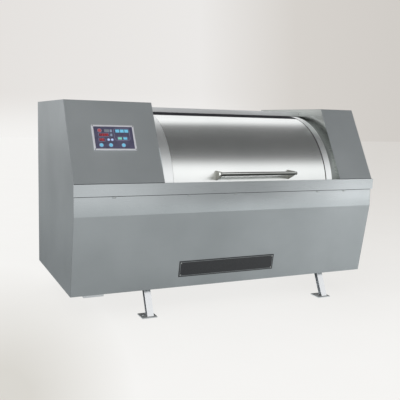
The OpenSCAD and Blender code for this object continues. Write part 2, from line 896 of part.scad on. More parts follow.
// Turning latch: spindle through the door, with a bar handle outside
module drum_latch(x) {
    color(bright) at_angle(hatch_a) translate([x, 0, 0]) {
        translate([0, 0, hatch_r0 + 0.3]) cylinder(h = hatch_t + 3, r = 8);
        translate([0, 0, hatch_r0 + hatch_t + 1]) cylinder(h = 5, r = latch_boss_r);
        translate([-38, -6, hatch_r0 + hatch_t + 5]) cube([76, 12, 9]);
    }
}

module drum_latch_left() {
    drum_latch(hatch_x[0]);
}

module drum_latch_right() {
    drum_latch(hatch_x[1]);
}

// Curved tray: the outer sheet with a flange near each end, and a bar inside each long edge
module door_sheet() {
    flange_r = tub_r + 6;
    end_w = 3;
    skin_r = door_r - door_t;
    x0 = x_door0 + shoe_in;
    x1 = x_door1 - shoe_in;
    color(bright) {
        arc_of(door_a0, door_a1) polygon([
            [door_r, -x_door0], [skin_r, -x_door0], [skin_r, -x0], [flange_r, -x0], [flange_r, -x0 - end_w],
            [skin_r, -x0 - end_w], [skin_r, end_w - x1], [flange_r, end_w - x1], [flange_r, -x1], [skin_r, -x1],
            [skin_r, -x_door1], [door_r, -x_door1]
        ]);
        for (a = [door_a0 + 0.3, door_a1 - 0.7])
            arc_bar(x0 + end_w - 1, x1 - end_w + 1, flange_r + 1, skin_r + 1, a, a + 0.4);
    }
}

// Round bar between two triangular brackets
module door_handle() {
    x0 = x_door0 + handle_x;
    x1 = x0 + handle_l;
    plate = 6;
    bar = [axis_y - handle_r * cos(handle_a), axis_z + handle_r * sin(handle_a)];
    up_a = handle_a + 3.5;
    low_a = handle_a - 2.6;
    up = [axis_y - door_r * cos(up_a), axis_z + door_r * sin(up_a)];
    low = [axis_y - door_r * cos(low_a), axis_z + door_r * sin(low_a)];
    color(bright) {
        rod(x0 - 14, x1 + 14, bar[0], bar[1], handle_bar_r);
        difference() {
            for (x = [x0, x1 - plate]) along_x(x, x + plate) polygon([
                up + [12, 0], up + [0, 6], bar + [0, handle_bar_r + 3], bar + [-handle_bar_r - 3, 0],
                bar + [0, -handle_bar_r - 3], low, low + [10, 0]
            ]);
            disc(x0 - 1, x1 + 1, door_r);
        }
    }
}

module shoe(a, x_edge, side) {
    groove_lo = lip_r - lip_t - slide_gap;
    groove_hi = lip_r + slide_gap;
    far = lip_in + 2;
    arc_of(a, a + 7) polygon([
        for (p = [
            [tub_r + 6, shoe_out], [tub_r + 6, shoe_in], [door_r - door_t, shoe_in], [door_r - door_t, shoe_out],
            [groove_hi, shoe_out], [groove_hi, far], [groove_lo, far], [groove_lo, shoe_out]
        ]) [p[0], -(x_edge + side * p[1])]
    ]);
}

// Grooved nylon shoes that grip the lips of the guide rings
module door_shoes() {
    color("#e4e2d8") for (a = [door_a0 + 2, (door_a0 + door_a1) / 2 - 3.5, door_a1 - 9]) {
        shoe(a, x_door0, 1);
        shoe(a, x_door1, -1);
    }
}

module door_seal() {
    color(rubber) arc_bar(x_door1, x_door1 + seal_w, door_r - 9, door_r - 0.4, door_a0, door_a1);
}

module control_frame() {
    color(bright) on_slope() difference() {
        translate([panel_x, panel_s, 0]) cube([panel_w, panel_h, frame_h]);
        translate([panel_x + frame_w, panel_s + frame_w, -1])
            cube([panel_w - 2 * frame_w, panel_h - 2 * frame_w, frame_h + 2]);
    }
}

// Keys of the panel: distance from its left edge and up from its lower edge
key_stop_at = [54, panel_h - 43];
key_low_at = [[55, key_low_s], [123, key_low_s], [215, key_low_s]];
key_small_at = [[111, key_small_s], [137, key_small_s]];

module panel_holes(at, r) {
    for (p = at) translate([panel_x + p[0], panel_s + p[1], -20]) cylinder(h = 40, r = r);
}

module control_face() {
    m = frame_w + seat_gap;
    color("#35304f") on_slope() difference() {
        translate([panel_x + m, panel_s + m, 0]) cube([panel_w - 2 * m, panel_h - 2 * m, face_t]);
        panel_holes(concat([key_stop_at], key_low_at), key_r + key_gap);
        panel_holes(key_small_at, small_key_r + key_gap);
    }
}

// Box behind the hood, with its front recessed behind the keys
module control_box() {
    depth = 100;
    rim = 4;
    color(paint) on_slope() difference() {
        translate([panel_x, panel_s, -depth]) cube([panel_w, panel_h, depth - sheet_t]);
        translate([panel_x + frame_w, panel_s + frame_w, -sheet_t - rim])
            cube([panel_w - 2 * frame_w, panel_h - 2 * frame_w, rim + 1]);
    }
}

// Number windows, grey window and lamps, standing on the face
module panel_displays() {
    on_slope() translate([panel_x, panel_s, face_t]) {
        color("#a52a30") {
            translate([46, panel_h - 87, 0]) cube([70, 22, 1]);
            translate([43, panel_h - 125, 0]) cube([40, 22, 1]);
        }
        color("#7d7b95") {
            translate([88, panel_h - 55, 0]) cube([36, 22, 1]);
            translate([128, panel_h - 55, 0]) cube([16, 22, 1]);
            translate([127, panel_h - 88, 0]) cube([17, 22, 1]);
        }
        color("#7fc4ea") for (x = [183, 216, 249]) translate([x - 14, panel_h - 57, 0]) cube([28, 24, 1.2]);
        color("#7fc4ea") for (x = [195, 234]) translate([x - 14, panel_h - 112, 0]) cube([28, 18, 1.2]);
    }
}

// Round key with its lower face clear of the control box
module key(at, r, tone) {
    color(tone) on_slope() translate([panel_x + at[0], panel_s + at[1], -key_sink]) cylinder(h = key_h + key_sink, r = r);
}

module key_stop() {
    key(key_stop_at, key_r, "#b5343a");
}

module key_low_left() {
    key(key_low_at[0], key_r, "#6fb4e0");
}

module key_low_middle() {
    key(key_low_at[1], key_r, "#6fb4e0");
}

module key_low_right() {
    key(key_low_at[2], key_r, "#6fb4e0");
}

module key_small_left() {
    key(key_small_at[0], small_key_r, "#a9bfe0");
}

module key_small_right() {
    key(key_small_at[1], small_key_r, "#a9bfe0");
}

// Outlet from the tub's lowest part, and the pipe that leads it out at the back
module drain_pipe() {
    bore = drain_r - drain_t;
    turn_y = drain_y + drain_bend_r;
    color(steel) {
        difference() {
            translate([drain_x, drain_y, valve_z1]) cylinder(h = axis_z - tub_r - valve_z1 + 60, r = drain_r);
            translate([drain_x, drain_y, valve_z1 - 1]) cylinder(h = 200, r = bore);
            disc(drain_x - 200, drain_x + 200, tub_r + 0.1);
        }
        translate([drain_x, turn_y, valve_z0]) rotate([90, 0, 90]) rotate([0, 0, 180])
            rotate_extrude(angle = 90) translate([drain_bend_r, 0]) difference() {
                circle(drain_r);
                circle(bore);
            }
        translate([drain_x, turn_y, drain_z]) rotate([-90, 0, 0]) difference() {
            union() {
                cylinder(h = y_back - turn_y, r = drain_r);
                cylinder(h = y_back + stub_l - turn_y, r = drain_r - spigot_step);
            }
            translate([0, 0, -1]) cylinder(h = y_back + stub_l - turn_y + 2, r = bore);
        }
    }
}

module drain_valve_body() {
    color(paint) difference() {
        translate([drain_x, drain_y, valve_z0]) cylinder(h = valve_h, r = drain_r + 28);
        translate([drain_x, drain_y, valve_z0 - 1]) cylinder(h = valve_h + 2, r = drain_r - drain_t);
        rod(drain_x - 160, drain_x + 160, drain_y, valve_z0 + valve_h / 2, 10 + run_fit);
    }
}

// Disc on a spindle with a lever at its end
module drain_valve_disc() {
    z = valve_z0 + valve_h / 2;
    color(bright) {
        translate([drain_x, drain_y, z - 4]) cylinder(h = 8, r = drain_r - drain_t - 1);
        rod(drain_x - drain_r - 60, drain_x + drain_r + 20, drain_y, z, 10);
        box(drain_x - drain_r - 62, drain_x - drain_r - 50, drain_y - 12, drain_y + 130, z - 12, z + 12);
    }
}

// Places where the water and steam pipes enter the tub: Y and Z there, and X of the straight run to the back
inlet_places = [
    [axis_y + tub_r / 2, axis_z + tub_r * 5 / 12, x_wall_right + water_x],
    [axis_y + tub_r * 19 / 30, axis_z + tub_r / 5, x_wall_right + steam_x]
];

module inlet_path(p, r, y_end, more) {
    rod(x_wall_right - tub_end_t - more, p[2], p[0], p[1], r);
    translate([p[2], p[0], p[1]]) sphere(r);
    translate([p[2], p[0], p[1]]) rotate([-90, 0, 0]) cylinder(h = y_end + more - p[0], r = r);
}

module inlet_pipes() {
    color("#b9a15a") for (p = inlet_places) difference() {
        union() {
            inlet_path(p, inlet_r, y_back + 4, 0);
            translate([p[2], y_back, p[1]]) rotate([-90, 0, 0]) cylinder(h = stub_l, r = inlet_r - spigot_step / 2);
            translate([p[2], p[0] + 120, p[1]]) rotate([-90, 0, 0]) cylinder(h = 90, r = inlet_r + 14);
            translate([p[2], p[0] + 165, p[1]]) cylinder(h = 70, r = inlet_r + 6);
        }
        inlet_path(p, inlet_r - inlet_t, y_back + stub_l, 1);
    }
}

frame_rails();
frame_cross_members();
leg_front_left();
leg_front_right();
leg_rear_left();
leg_rear_right();
motor_base();
jackshaft_bracket();
left_end_panel();
right_end_panel();
left_hood();
right_hood();
left_inner_wall();
right_inner_wall();
front_band();
front_apron();
rear_panels();
centre_top_cover();
top_seal();
tub_shell();
tub_ends();
guide_ring_left();
guide_ring_right();
bearing_stands();
bearing_housings();
drum_bearings();
shaft_seals();
motor_housing();
motor_rotor();
motor_belts();
jackshaft();
drum_belts();
drum_shell();
drum_door_guides();
drum_ends();
drum_lifters();
drum_shafts();
drum_pulley();
drum_door_left();
drum_door_right();
drum_latch_left();
drum_latch_right();
door_sheet();
door_handle();
door_shoes();
door_seal();
control_frame();
control_face();
control_box();
panel_displays();
key_stop();
key_low_left();
key_low_middle();
key_low_right();
key_small_left();
key_small_right();
drain_pipe();
drain_valve_body();
drain_valve_disc();
inlet_pipes();
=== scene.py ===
"""Dresses the industrial washing machine: steel finishes, rounded edges, panel details, light and camera."""
import math

import bpy
from mathutils import Matrix, Vector


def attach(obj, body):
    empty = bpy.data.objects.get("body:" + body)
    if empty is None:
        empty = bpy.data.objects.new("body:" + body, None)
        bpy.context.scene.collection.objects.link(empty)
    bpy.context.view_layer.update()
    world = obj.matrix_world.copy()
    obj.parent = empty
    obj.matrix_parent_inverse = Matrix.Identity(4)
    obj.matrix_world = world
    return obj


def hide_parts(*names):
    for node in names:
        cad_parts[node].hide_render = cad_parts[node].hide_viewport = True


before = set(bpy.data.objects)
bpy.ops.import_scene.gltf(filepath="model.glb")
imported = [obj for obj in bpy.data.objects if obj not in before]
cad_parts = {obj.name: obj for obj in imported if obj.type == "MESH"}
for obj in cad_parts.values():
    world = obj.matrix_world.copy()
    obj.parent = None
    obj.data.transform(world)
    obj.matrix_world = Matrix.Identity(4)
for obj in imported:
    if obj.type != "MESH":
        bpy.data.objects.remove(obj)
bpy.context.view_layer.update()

# Camera, fitted to the photograph: its place, turn, tilt, roll and lens
CAMERA_AT = Vector((-2.1675, -4.5951, 1.4340))
CAMERA_TURN = 24.963
CAMERA_TILT = 7.417
CAMERA_ROLL = 1.475
CAMERA_LENS = 54.187
SENSOR = 36.0

# Sizes of the part's source, in metres: ends, inner walls, front outline, axis, handle, cover and panel
X_LEFT, X_RIGHT = -1.258, 1.242
X_WALL_LEFT, X_WALL_RIGHT = -0.607, 0.920
Y_BELLY, Y_FACE, Y_LOW, Y_TOP, Y_BACK = -0.653, -0.647, -0.549, -0.343, 0.653
Y_CREASE = -0.649
Z_LOW, Z_CREASE, Z_BAND, Z_BAND_TOP, Z_TOP = 0.2, 0.776, 0.913, 0.998, 1.564
AXIS_Y, AXIS_Z = -0.013, 0.865
BAR_Y, BAR_Z, BAR_R = -0.71645, 1.0601, 0.012
COVER_Y, COVER_Z, RAIL_DROP = -0.009, 1.507, 0.019
PANEL_X, PANEL_S, PANEL_W, PANEL_H = 0.172, 0.251, 0.307, 0.196
FRAME_W, FRAME_H, FACE_T = 0.012, 0.009, 0.005
DRUM_R = 0.56
BOLT_CIRCLE_R, FLANGE_OUT = 0.131, 0.0426

# Sizes that only the dressed pieces have
SLEEVE_R, SLEEVE_LEFT, SLEEVE_RIGHT = 0.0148, -0.192, 0.436
LIP_DROP = 0.006
MOTOR_BASE_RISE = 0.012
PAINTED_SHADE_Z = 1.4768
SMOOTH_ANGLE = math.radians(35)

# Frames of the slanted faces: X along the machine, Y up the sheet, Z outwards
SLOPE = (Matrix.Translation((X_LEFT, Y_BELLY, Z_BAND_TOP))
         @ Matrix.Rotation(math.atan2(Z_TOP - Z_BAND_TOP, Y_TOP - Y_BELLY), 4, "X"))
PANEL = SLOPE @ Matrix.Translation((PANEL_X, PANEL_S, 0))
APRON = (Matrix.Translation((0, Y_LOW, Z_LOW))
         @ Matrix.Rotation(math.atan2(Z_CREASE - Z_LOW, Y_CREASE - Y_LOW), 4, "X"))
FRONT = Matrix.Rotation(math.radians(90), 4, "X")
BACK = Matrix.Rotation(math.radians(180), 4, "Z") @ FRONT
LONG, DEEP, UP = (1, 0, 0), (0, 1, 0), (0, 0, 1)


# Finishes

def linear(hex_colour):
    """Linear colour with alpha from an sRGB hex value."""
    channels = [int(hex_colour[i:i + 2], 16) / 255 for i in (1, 3, 5)]
    return [c / 12.92 if c <= 0.04045 else ((c + 0.055) / 1.055) ** 2.4 for c in channels] + [1.0]


def add_node(tree, kind, settings=None, inputs=None, links=None):
    """Adds a shader node, sets its properties and sockets, and links its inputs."""
    node = tree.nodes.new(kind)
    for name, value in (settings or {}).items():
        setattr(node, name, value)
    for name, value in (inputs or {}).items():
        node.inputs[name].default_value = value
    for name, source in (links or {}).items():
        tree.links.new(source, node.inputs[name])
    return node


def new_material(name):
    """Node material with only its shader and output; returns the material, its tree and the shader."""
    material = bpy.data.materials.new(name)
    material.use_nodes = True
    tree = material.node_tree
    tree.nodes.clear()
    shader = add_node(tree, "ShaderNodeBsdfPrincipled")
    output = add_node(tree, "ShaderNodeOutputMaterial")
    tree.links.new(shader.outputs[0], output.inputs[0])
    return material, tree, shader


def coords_of(tree, kind="Object"):
    """Coordinates of the point that is shaded."""
    return add_node(tree, "ShaderNodeTexCoord").outputs[kind]


def axes_of(tree, place):
    """The three numbers of a place."""
    return add_node(tree, "ShaderNodeSeparateXYZ", links={"Vector": place}).outputs


def calc(tree, operation, *terms):
    """Result of a Math node on numbers and other nodes' results."""
    node = add_node(tree, "ShaderNodeMath", {"operation": operation})
    for i, term in enumerate(terms):
        if isinstance(term, bpy.types.NodeSocket):
            tree.links.new(term, node.inputs[i])
        else:
            node.inputs[i].default_value = term
    return node.outputs[0]


def measure(tree, operation, place, fixed):
    """Distance or dot product between a place and a fixed vector."""
    node = add_node(tree, "ShaderNodeVectorMath", {"operation": operation}, {1: fixed}, {0: place})
    return node.outputs["Value"]


def span(tree, value, start, end, low=0.0, high=1.0, ease="LINEAR"):
    """Number that runs from low to high as the value goes from start to end."""
    node = add_node(tree, "ShaderNodeMapRange", {"interpolation_type": ease},
                    {"From Min": start, "From Max": end, "To Min": low, "To Max": high}, {"Value": value})
    return node.outputs[0]


def ramp_of(tree, value, pairs):
    """Colour from a ramp with pairs of place and hex colour: first its two ends, then the stops between."""
    ramp = add_node(tree, "ShaderNodeValToRGB", links={"Fac": value})
    stops = ramp.color_ramp.elements
    for i, (place, colour) in enumerate(pairs):
        stop = stops[i] if i < 2 else stops.new(place)
        stop.position, stop.color = place, linear(colour)
    return ramp.outputs[0]


def noise_at(tree, scale, detail=3.0):
    """Noise on Object coordinates, with its scale per metre along each axis."""
    mapping = add_node(tree, "ShaderNodeMapping", inputs={"Scale": scale}, links={"Vector": coords_of(tree)})
    return add_node(tree, "ShaderNodeTexNoise", inputs={"Scale": 1.0, "Detail": detail},
                    links={"Vector": mapping.outputs[0]}).outputs["Fac"]


def colour_between(tree, factor, low, high, start=0.35, end=0.65):
    """Colour that runs from low to high as the factor goes from start to end."""
    return ramp_of(tree, factor, ((start, low), (end, high)))


def rolled_steel(name, low, high, roughness, grain, spread=0.03, relief=0.03, across=None, stretch=0.0):
    """Cold rolled 304 sheet brushed one way: fine lines pull the highlights out across the grain, and faint
    clouds from rolling and wiping break up the large flat faces. The real brush lines are 0.05 mm apart, and
    here they are about 1 mm so that they show."""
    material, tree, shader = new_material(name)
    lines = noise_at(tree, grain)
    clouds = noise_at(tree, (1.8, 1.8, 1.8), 4.0)
    tree.links.new(colour_between(tree, clouds, low, high, 0.3, 0.7), shader.inputs["Base Color"])
    rough = span(tree, lines, 0.3, 0.7, roughness - spread, roughness + spread)
    tree.links.new(rough, shader.inputs["Roughness"])
    bump = add_node(tree, "ShaderNodeBump", inputs={"Strength": relief, "Distance": 0.0003},
                    links={"Height": lines})
    tree.links.new(bump.outputs[0], shader.inputs["Normal"])
    shader.inputs["Metallic"].default_value = 1.0
    if across:
        pull = add_node(tree, "ShaderNodeCombineXYZ", inputs={"X": across[0], "Y": across[1], "Z": across[2]})
        tree.links.new(pull.outputs[0], shader.inputs["Tangent"])
        shader.inputs["Anisotropic"].default_value = stretch
    return material


def worked_finish(name, low, high, roughness, grit, metallic=0.0, relief=0.0, coat=0.0, gloss=0.5):
    """A finish whose colour varies with a grit of the given size in metres, in relief if it is rough."""
    material, tree, shader = new_material(name)
    grains = noise_at(tree, (1 / grit,) * 3, 4.0)
    tree.links.new(colour_between(tree, grains, low, high), shader.inputs["Base Color"])
    if relief:
        bump = add_node(tree, "ShaderNodeBump", inputs={"Strength": relief, "Distance": 0.0005},
                        links={"Height": grains})
        tree.links.new(bump.outputs[0], shader.inputs["Normal"])
    shader.inputs["Roughness"].default_value = roughness
    shader.inputs["Metallic"].default_value = metallic
    shader.inputs["Coat Weight"].default_value = coat
    shader.inputs["Specular IOR Level"].default_value = gloss
    return material


def lit_plastic(name, low, high, glow):
    """Moulded polycarbonate with a lamp behind it: a clear colour that stays bright in shade."""
    material, tree, shader = new_material(name)
    grains = noise_at(tree, (400, 400, 400))
    tree.links.new(colour_between(tree, grains, low, high), shader.inputs["Base Color"])
    shader.inputs["Roughness"].default_value = 0.3
    shader.inputs["Emission Color"].default_value = linear(high)
    shader.inputs["Emission Strength"].default_value = glow
    return material


def punched_steel():
    """Drum sheet punched with rows of 9 mm holes every 20 mm: dark dots in even rows on a bright sheet."""
    material, tree, shader = new_material("punched_stainless")
    pitch, hole_r = 0.02, 0.0046
    x, y, z = axes_of(tree, coords_of(tree))
    turn = calc(tree, "ARCTAN2", calc(tree, "SUBTRACT", z, AXIS_Z), calc(tree, "SUBTRACT", y, AXIS_Y))
    cell = add_node(tree, "ShaderNodeCombineXYZ")
    for i, (source, scale) in enumerate(((x, 1 / pitch), (turn, DRUM_R / pitch))):
        part = calc(tree, "FRACT", calc(tree, "MULTIPLY", source, scale))
        tree.links.new(calc(tree, "SUBTRACT", part, 0.5), cell.inputs[i])
    away = add_node(tree, "ShaderNodeVectorMath", {"operation": "LENGTH"}, {}, {0: cell.outputs[0]})
    sheet = calc(tree, "GREATER_THAN", away.outputs["Value"], hole_r / pitch)
    tone = colour_between(tree, sheet, "#121416", "#c4c8c7", 0.0, 1.0)
    tree.links.new(tone, shader.inputs["Base Color"])
    tree.links.new(sheet, shader.inputs["Metallic"])
    bump = add_node(tree, "ShaderNodeBump", inputs={"Strength": 0.5, "Distance": 0.001},
                    links={"Height": sheet})
    tree.links.new(bump.outputs[0], shader.inputs["Normal"])
    shader.inputs["Roughness"].default_value = 0.3
    return material


def handle_steel_painted_shade():
    """Stainless bar, buffed, with painted shade on its lower front, which draws it as a light line over a
    dark one.
    """
    material, tree, shader = new_material("handle_bar_painted_underside_shade")
    down_and_out = Vector((0, -0.707, -0.707))
    axis = down_and_out.dot(Vector((0, BAR_Y, BAR_Z)))
    height = measure(tree, "DOT_PRODUCT", coords_of(tree), down_and_out)
    # Painted shade: the lower front of the bar and its sleeve turns dark
    painted_underside_shade = span(tree, height, axis + 0.50 * SLEEVE_R, axis + 0.66 * SLEEVE_R)
    tone = colour_between(tree, painted_underside_shade, "#d2d4d1", "#3c3e3b", 0.0, 1.0)
    tree.links.new(tone, shader.inputs["Base Color"])
    shader.inputs["Roughness"].default_value = 0.2
    shader.inputs["Metallic"].default_value = 1.0
    return material


def door_steel():
    """Bright annealed sheet of the door, polished along the machine: clear soft bands of light. A black band
    of painted shade covers its upper edge, under the seal: the dark line below the cover."""
    material = rolled_steel("bright_annealed_stainless_painted_shade_edge", "#e2e5e4", "#eceeed", 0.25, (3, 500, 500), 0.012,
                            0.008, across=LONG, stretch=0.85)
    tree = material.node_tree
    steel = next(node for node in tree.nodes if node.type == "BSDF_PRINCIPLED")
    output = next(node for node in tree.nodes if node.type == "OUTPUT_MATERIAL")
    film = add_node(tree, "ShaderNodeBsdfPrincipled", inputs={"Roughness": 0.8, "Specular IOR Level": 0.12})
    specks = noise_at(tree, (250, 250, 250), 4.0)
    tree.links.new(colour_between(tree, specks, "#0c0c14", "#14141d"), film.inputs["Base Color"])
    # Painted shade: above this height the door is black, for the dark line under the cover
    above = calc(tree, "GREATER_THAN", axes_of(tree, coords_of(tree))[2], PAINTED_SHADE_Z)
    both = add_node(tree, "ShaderNodeMixShader", links={0: above, 1: steel.outputs[0], 2: film.outputs[0]})
    tree.links.new(both.outputs[0], output.inputs[0])
    return material


def build_finishes():
    """All finishes by name, each with what it gives the eye."""
    return {
        # Satin sheet of the hoods and the apron, brushed along the machine: an even soft grey
        "satin": rolled_steel("satin_stainless_sheet", "#a5aaac", "#b1b6b8", 0.46, (4, 120, 900), across=UP,
                              stretch=0.8),
        # The end panels have the same grain set upright and look a little darker, with painted shade
        "side": rolled_steel("satin_stainless_end_painted_shade", "#999ea0", "#a5aaac", 0.46, (120, 900, 4), across=DEEP,
                             stretch=0.6),
        # Door: the brightest sheet, with bands of light along it
        "door": door_steel(),
        # The guide rings are rolled from thicker sheet and polished less: a soft even gleam, with painted
        # light in their near-white colour
        "ring": rolled_steel("rolled_ring_stainless_painted_light", "#f1f4f4", "#f8fafa", 0.39, (500, 60, 60), 0.03, 0.03),
        # Inner walls, buffed: they mirror the rings and the door faintly
        "wall": rolled_steel("buffed_stainless_wall", "#abaeab", "#bbbebb", 0.28, (500, 3, 500), 0.03, 0.02),
        # Trim of the band and the strip under it, brushed finer: lighter than the sheets around it with
        # painted light
        "trim": rolled_steel("brushed_stainless_trim_painted_light", "#aeb3b5", "#babfc1", 0.29, (4, 60, 400), 0.02, 0.008,
                             across=UP, stretch=0.4),
        # The cover is brushed like the trim and lighter still, with painted light
        "cover": rolled_steel("brushed_stainless_cover_painted_light", "#d4d6d7", "#e2e4e5", 0.34, (4, 500, 500), across=UP,
                              stretch=0.6),
        # Mill finish tub sheet, dulled by hard water
        "tub": rolled_steel("mill_finish_stainless", "#8b8f8e", "#9da1a0", 0.42, (3, 400, 400)),
        # Drum shell: a bright sheet full of small dark holes
        "drum": punched_steel(),
        # Turned and ground carbon steel: tight highlights along the shafts
        "turned": worked_finish("ground_steel", "#b9bcbd", "#cfd2d3", 0.22, 0.004, 1.0),
        # Polished stainless of the latches, drum ends and lifters: crisp dark and light lines
        "bar": worked_finish("polished_stainless_bar", "#c6c9c6", "#d8dad7", 0.18, 0.006, 1.0),
        # Handle: a light line over a dark one of painted shade
        "handle": handle_steel_painted_shade(),
        # Polished leg channels and motor base: bright faces, hardly any grain
        "leg": worked_finish("polished_stainless_channel", "#e2e4e6", "#eaecee", 0.3, 0.008, 1.0),
        # Satin brackets of the handle: even mid grey beside the polished bar, darkened with painted shade
        "bracket": worked_finish("satin_bracket_steel_painted_shade", "#7a7a74", "#86867f", 0.5, 0.004, 1.0),
        # Galvanised foot plates: dull mid grey on the floor
        "foot": worked_finish("galvanised_foot_plate", "#8e9090", "#9c9e9e", 0.55, 0.004, 0.2),
        # Two coats of grey primer: flat, with a little orange peel
        "primer": worked_finish("grey_primer", "#565c60", "#62686c", 0.6, 0.003, 0.0, 0.15),
        # Painted grey iron castings: pitted and dull
        "iron": worked_finish("painted_cast_iron", "#3b4043", "#4a4f52", 0.62, 0.002, 0.0, 0.4),
        # EPDM rubber: near black, dusty and dull
        "rubber": worked_finish("epdm_rubber", "#0e0e12", "#17171b", 0.8, 0.004, 0.0, 0.1, gloss=0.12),
        # Fabric-faced belts: black with a coarse weave's roughness
        "belt": worked_finish("chloroprene_belt", "#19191a", "#262627", 0.8, 0.0015, 0.0, 0.3),
        # Natural cast nylon: waxy off-white
        "nylon": worked_finish("cast_nylon", "#dcd9cc", "#e8e5da", 0.45, 0.005, 0.0, 0.05),
        # Printed polyester film: violet ink under a hard clear coat
        "film": worked_finish("violet_polyester_film", "#434259", "#504d66", 0.35, 0.03, 0.0, 0.0, 0.25),
        # Thin pale print on the film
        "print": worked_finish("pale_screen_print", "#8d8ba8", "#9a98b4", 0.4, 0.002),
        # Red brass of the fittings, tumbled
        "brass": worked_finish("tumbled_brass", "#a98d4d", "#bfa25f", 0.34, 0.004, 1.0),
        # Anodised aluminium of the panel's frame: pale and even
        "aluminium": worked_finish("anodised_aluminium", "#dddee4", "#eaebf0", 0.38, 0.001, 0.7),
        # Black lacquered plate: smooth under a clear coat
        "lacquer": worked_finish("black_lacquered_brass", "#1b1c1f", "#26272a", 0.34, 0.01, 0.0, 0.0, 0.2),
        # Etched line of the plate: a thin grey gleam
        "etched": worked_finish("etched_nickel_silver", "#7d8182", "#929697", 0.45, 0.001, 0.7),
        # Zinc plated screws: small bright points with a dull yellow-grey cast
        "zinc": worked_finish("zinc_plated_steel", "#aeb0ad", "#c3c5c1", 0.36, 0.002, 1.0),
        # Keys, lamps, windows and digits: small clear colours that catch the eye on the dark film
        "key_blue": lit_plastic("sky_blue_polycarbonate", "#5aa6c8", "#78bedc", 0.18),
        "key_red": lit_plastic("red_polycarbonate", "#9a4248", "#b0565a", 0.12),
        "key_pale": lit_plastic("pale_blue_polycarbonate", "#9db8e6", "#b6cdf2", 0.2),
        "lamp_green": lit_plastic("sea_green_polycarbonate", "#66b0a6", "#86cabc", 0.18),
        "window_red": lit_plastic("smoked_red_acrylic", "#5c2030", "#6b2636", 0.05),
        "window_grey": lit_plastic("smoked_grey_acrylic", "#6c7480", "#7a828c", 0.05),
        "digit_red": lit_plastic("red_light_diodes", "#c83c40", "#dc5450", 0.4),
    }


NODE_FINISH = {
    "satin": ("left_hood right_hood front_apron rear_panels left_inner_wall drum_door_left drum_door_right "
              "drain_pipe"),
    "side": "left_end_panel right_end_panel",
    "door": "door_sheet",
    "ring": "guide_ring_left guide_ring_right",
    "wall": "right_inner_wall",
    "trim": "front_band",
    "cover": "centre_top_cover drum_door_guides",
    "leg": "leg_front_left leg_front_right leg_rear_left leg_rear_right",
    "tub": "tub_shell tub_ends",
    "drum": "drum_shell",
    "turned": "drum_shafts drum_bearings motor_rotor jackshaft drain_valve_disc",
    "bar": "door_handle drum_latch_left drum_latch_right drum_ends drum_lifters",
    "primer": ("frame_rails frame_cross_members motor_base jackshaft_bracket bearing_stands motor_housing "
               "control_box"),
    "iron": "bearing_housings drum_pulley drain_valve_body",
    "rubber": "top_seal door_seal shaft_seals",
    "belt": "motor_belts drum_belts",
    "nylon": "door_shoes",
    "film": "control_face",
    "aluminium": "control_frame",
    "brass": "inlet_pipes",
    "key_blue": "key_low_left key_low_middle key_low_right",
    "key_red": "key_stop",
    "key_pale": "key_small_left key_small_right panel_displays",
}


def give(piece, finish):
    """One finish all over a piece."""
    piece.data.materials.clear()
    piece.data.materials.append(FINISHES[finish])


def finish_nodes():
    """Gives every CAD node its finish."""
    for finish, nodes in NODE_FINISH.items():
        for node in nodes.split():
            give(bpy.data.objects[node], finish)


# Modelling

def deselect_all():
    """Leaves nothing selected, in object mode."""
    if bpy.context.object and bpy.context.object.mode != "OBJECT":
        bpy.ops.object.mode_set(mode="OBJECT")
    bpy.ops.object.select_all(action="DESELECT")


def make_active(piece):
    """Selects one piece alone."""
    deselect_all()
    piece.select_set(True)
    bpy.context.view_layer.objects.active = piece


def settle(piece, place=None):
    """Puts a piece into a frame and moves its place into its mesh."""
    if place is not None:
        piece.matrix_world = place @ piece.matrix_world
    make_active(piece)
    bpy.ops.object.transform_apply(location=True, rotation=True, scale=True)
    return piece


def round_edges(piece, width, segments=2, angle=30):
    """Rounds every edge that is sharper than the angle."""
    make_active(piece)
    bevel = piece.modifiers.new("rounding", "BEVEL")
    bevel.width = width
    bevel.segments = segments
    bevel.limit_method = "ANGLE"
    bevel.angle_limit = math.radians(angle)
    bpy.ops.object.modifier_apply(modifier="rounding")
    bpy.ops.object.shade_smooth_by_angle(angle=SMOOTH_ANGLE)
    # Flat faces keep their own normal up to the rounding, so that they reflect like flat sheet
    weighted = piece.modifiers.new("flat_faces", "WEIGHTED_NORMAL")
    weighted.keep_sharp = True
    bpy.ops.object.modifier_apply(modifier="flat_faces")
    return piece


def pick_faces(piece, test):
    """Opens a piece with only the faces selected that pass a test of their centre and normal."""
    make_active(piece)
    mesh = piece.data
    mesh.vertices.foreach_set("select", [False] * len(mesh.vertices))
    mesh.edges.foreach_set("select", [False] * len(mesh.edges))
    for face in mesh.polygons:
        face.select = test(face.center, face.normal)
    bpy.ops.object.mode_set(mode="EDIT")
    bpy.ops.mesh.select_mode(type="FACE")


def close_edit():
    """Leaves edit mode with normals outwards."""
    bpy.ops.mesh.select_all(action="SELECT")
    bpy.ops.mesh.normals_make_consistent(inside=False)
    bpy.ops.object.mode_set(mode="OBJECT")


def block(name, low, high, edge, segments=2):
    """Rounded block between two corners."""
    deselect_all()
    low, high = Vector(low), Vector(high)
    bpy.ops.mesh.primitive_cube_add(size=1, location=(low + high) / 2, scale=high - low)
    piece = bpy.context.object
    piece.name = name
    settle(piece)
    return round_edges(piece, edge, segments)


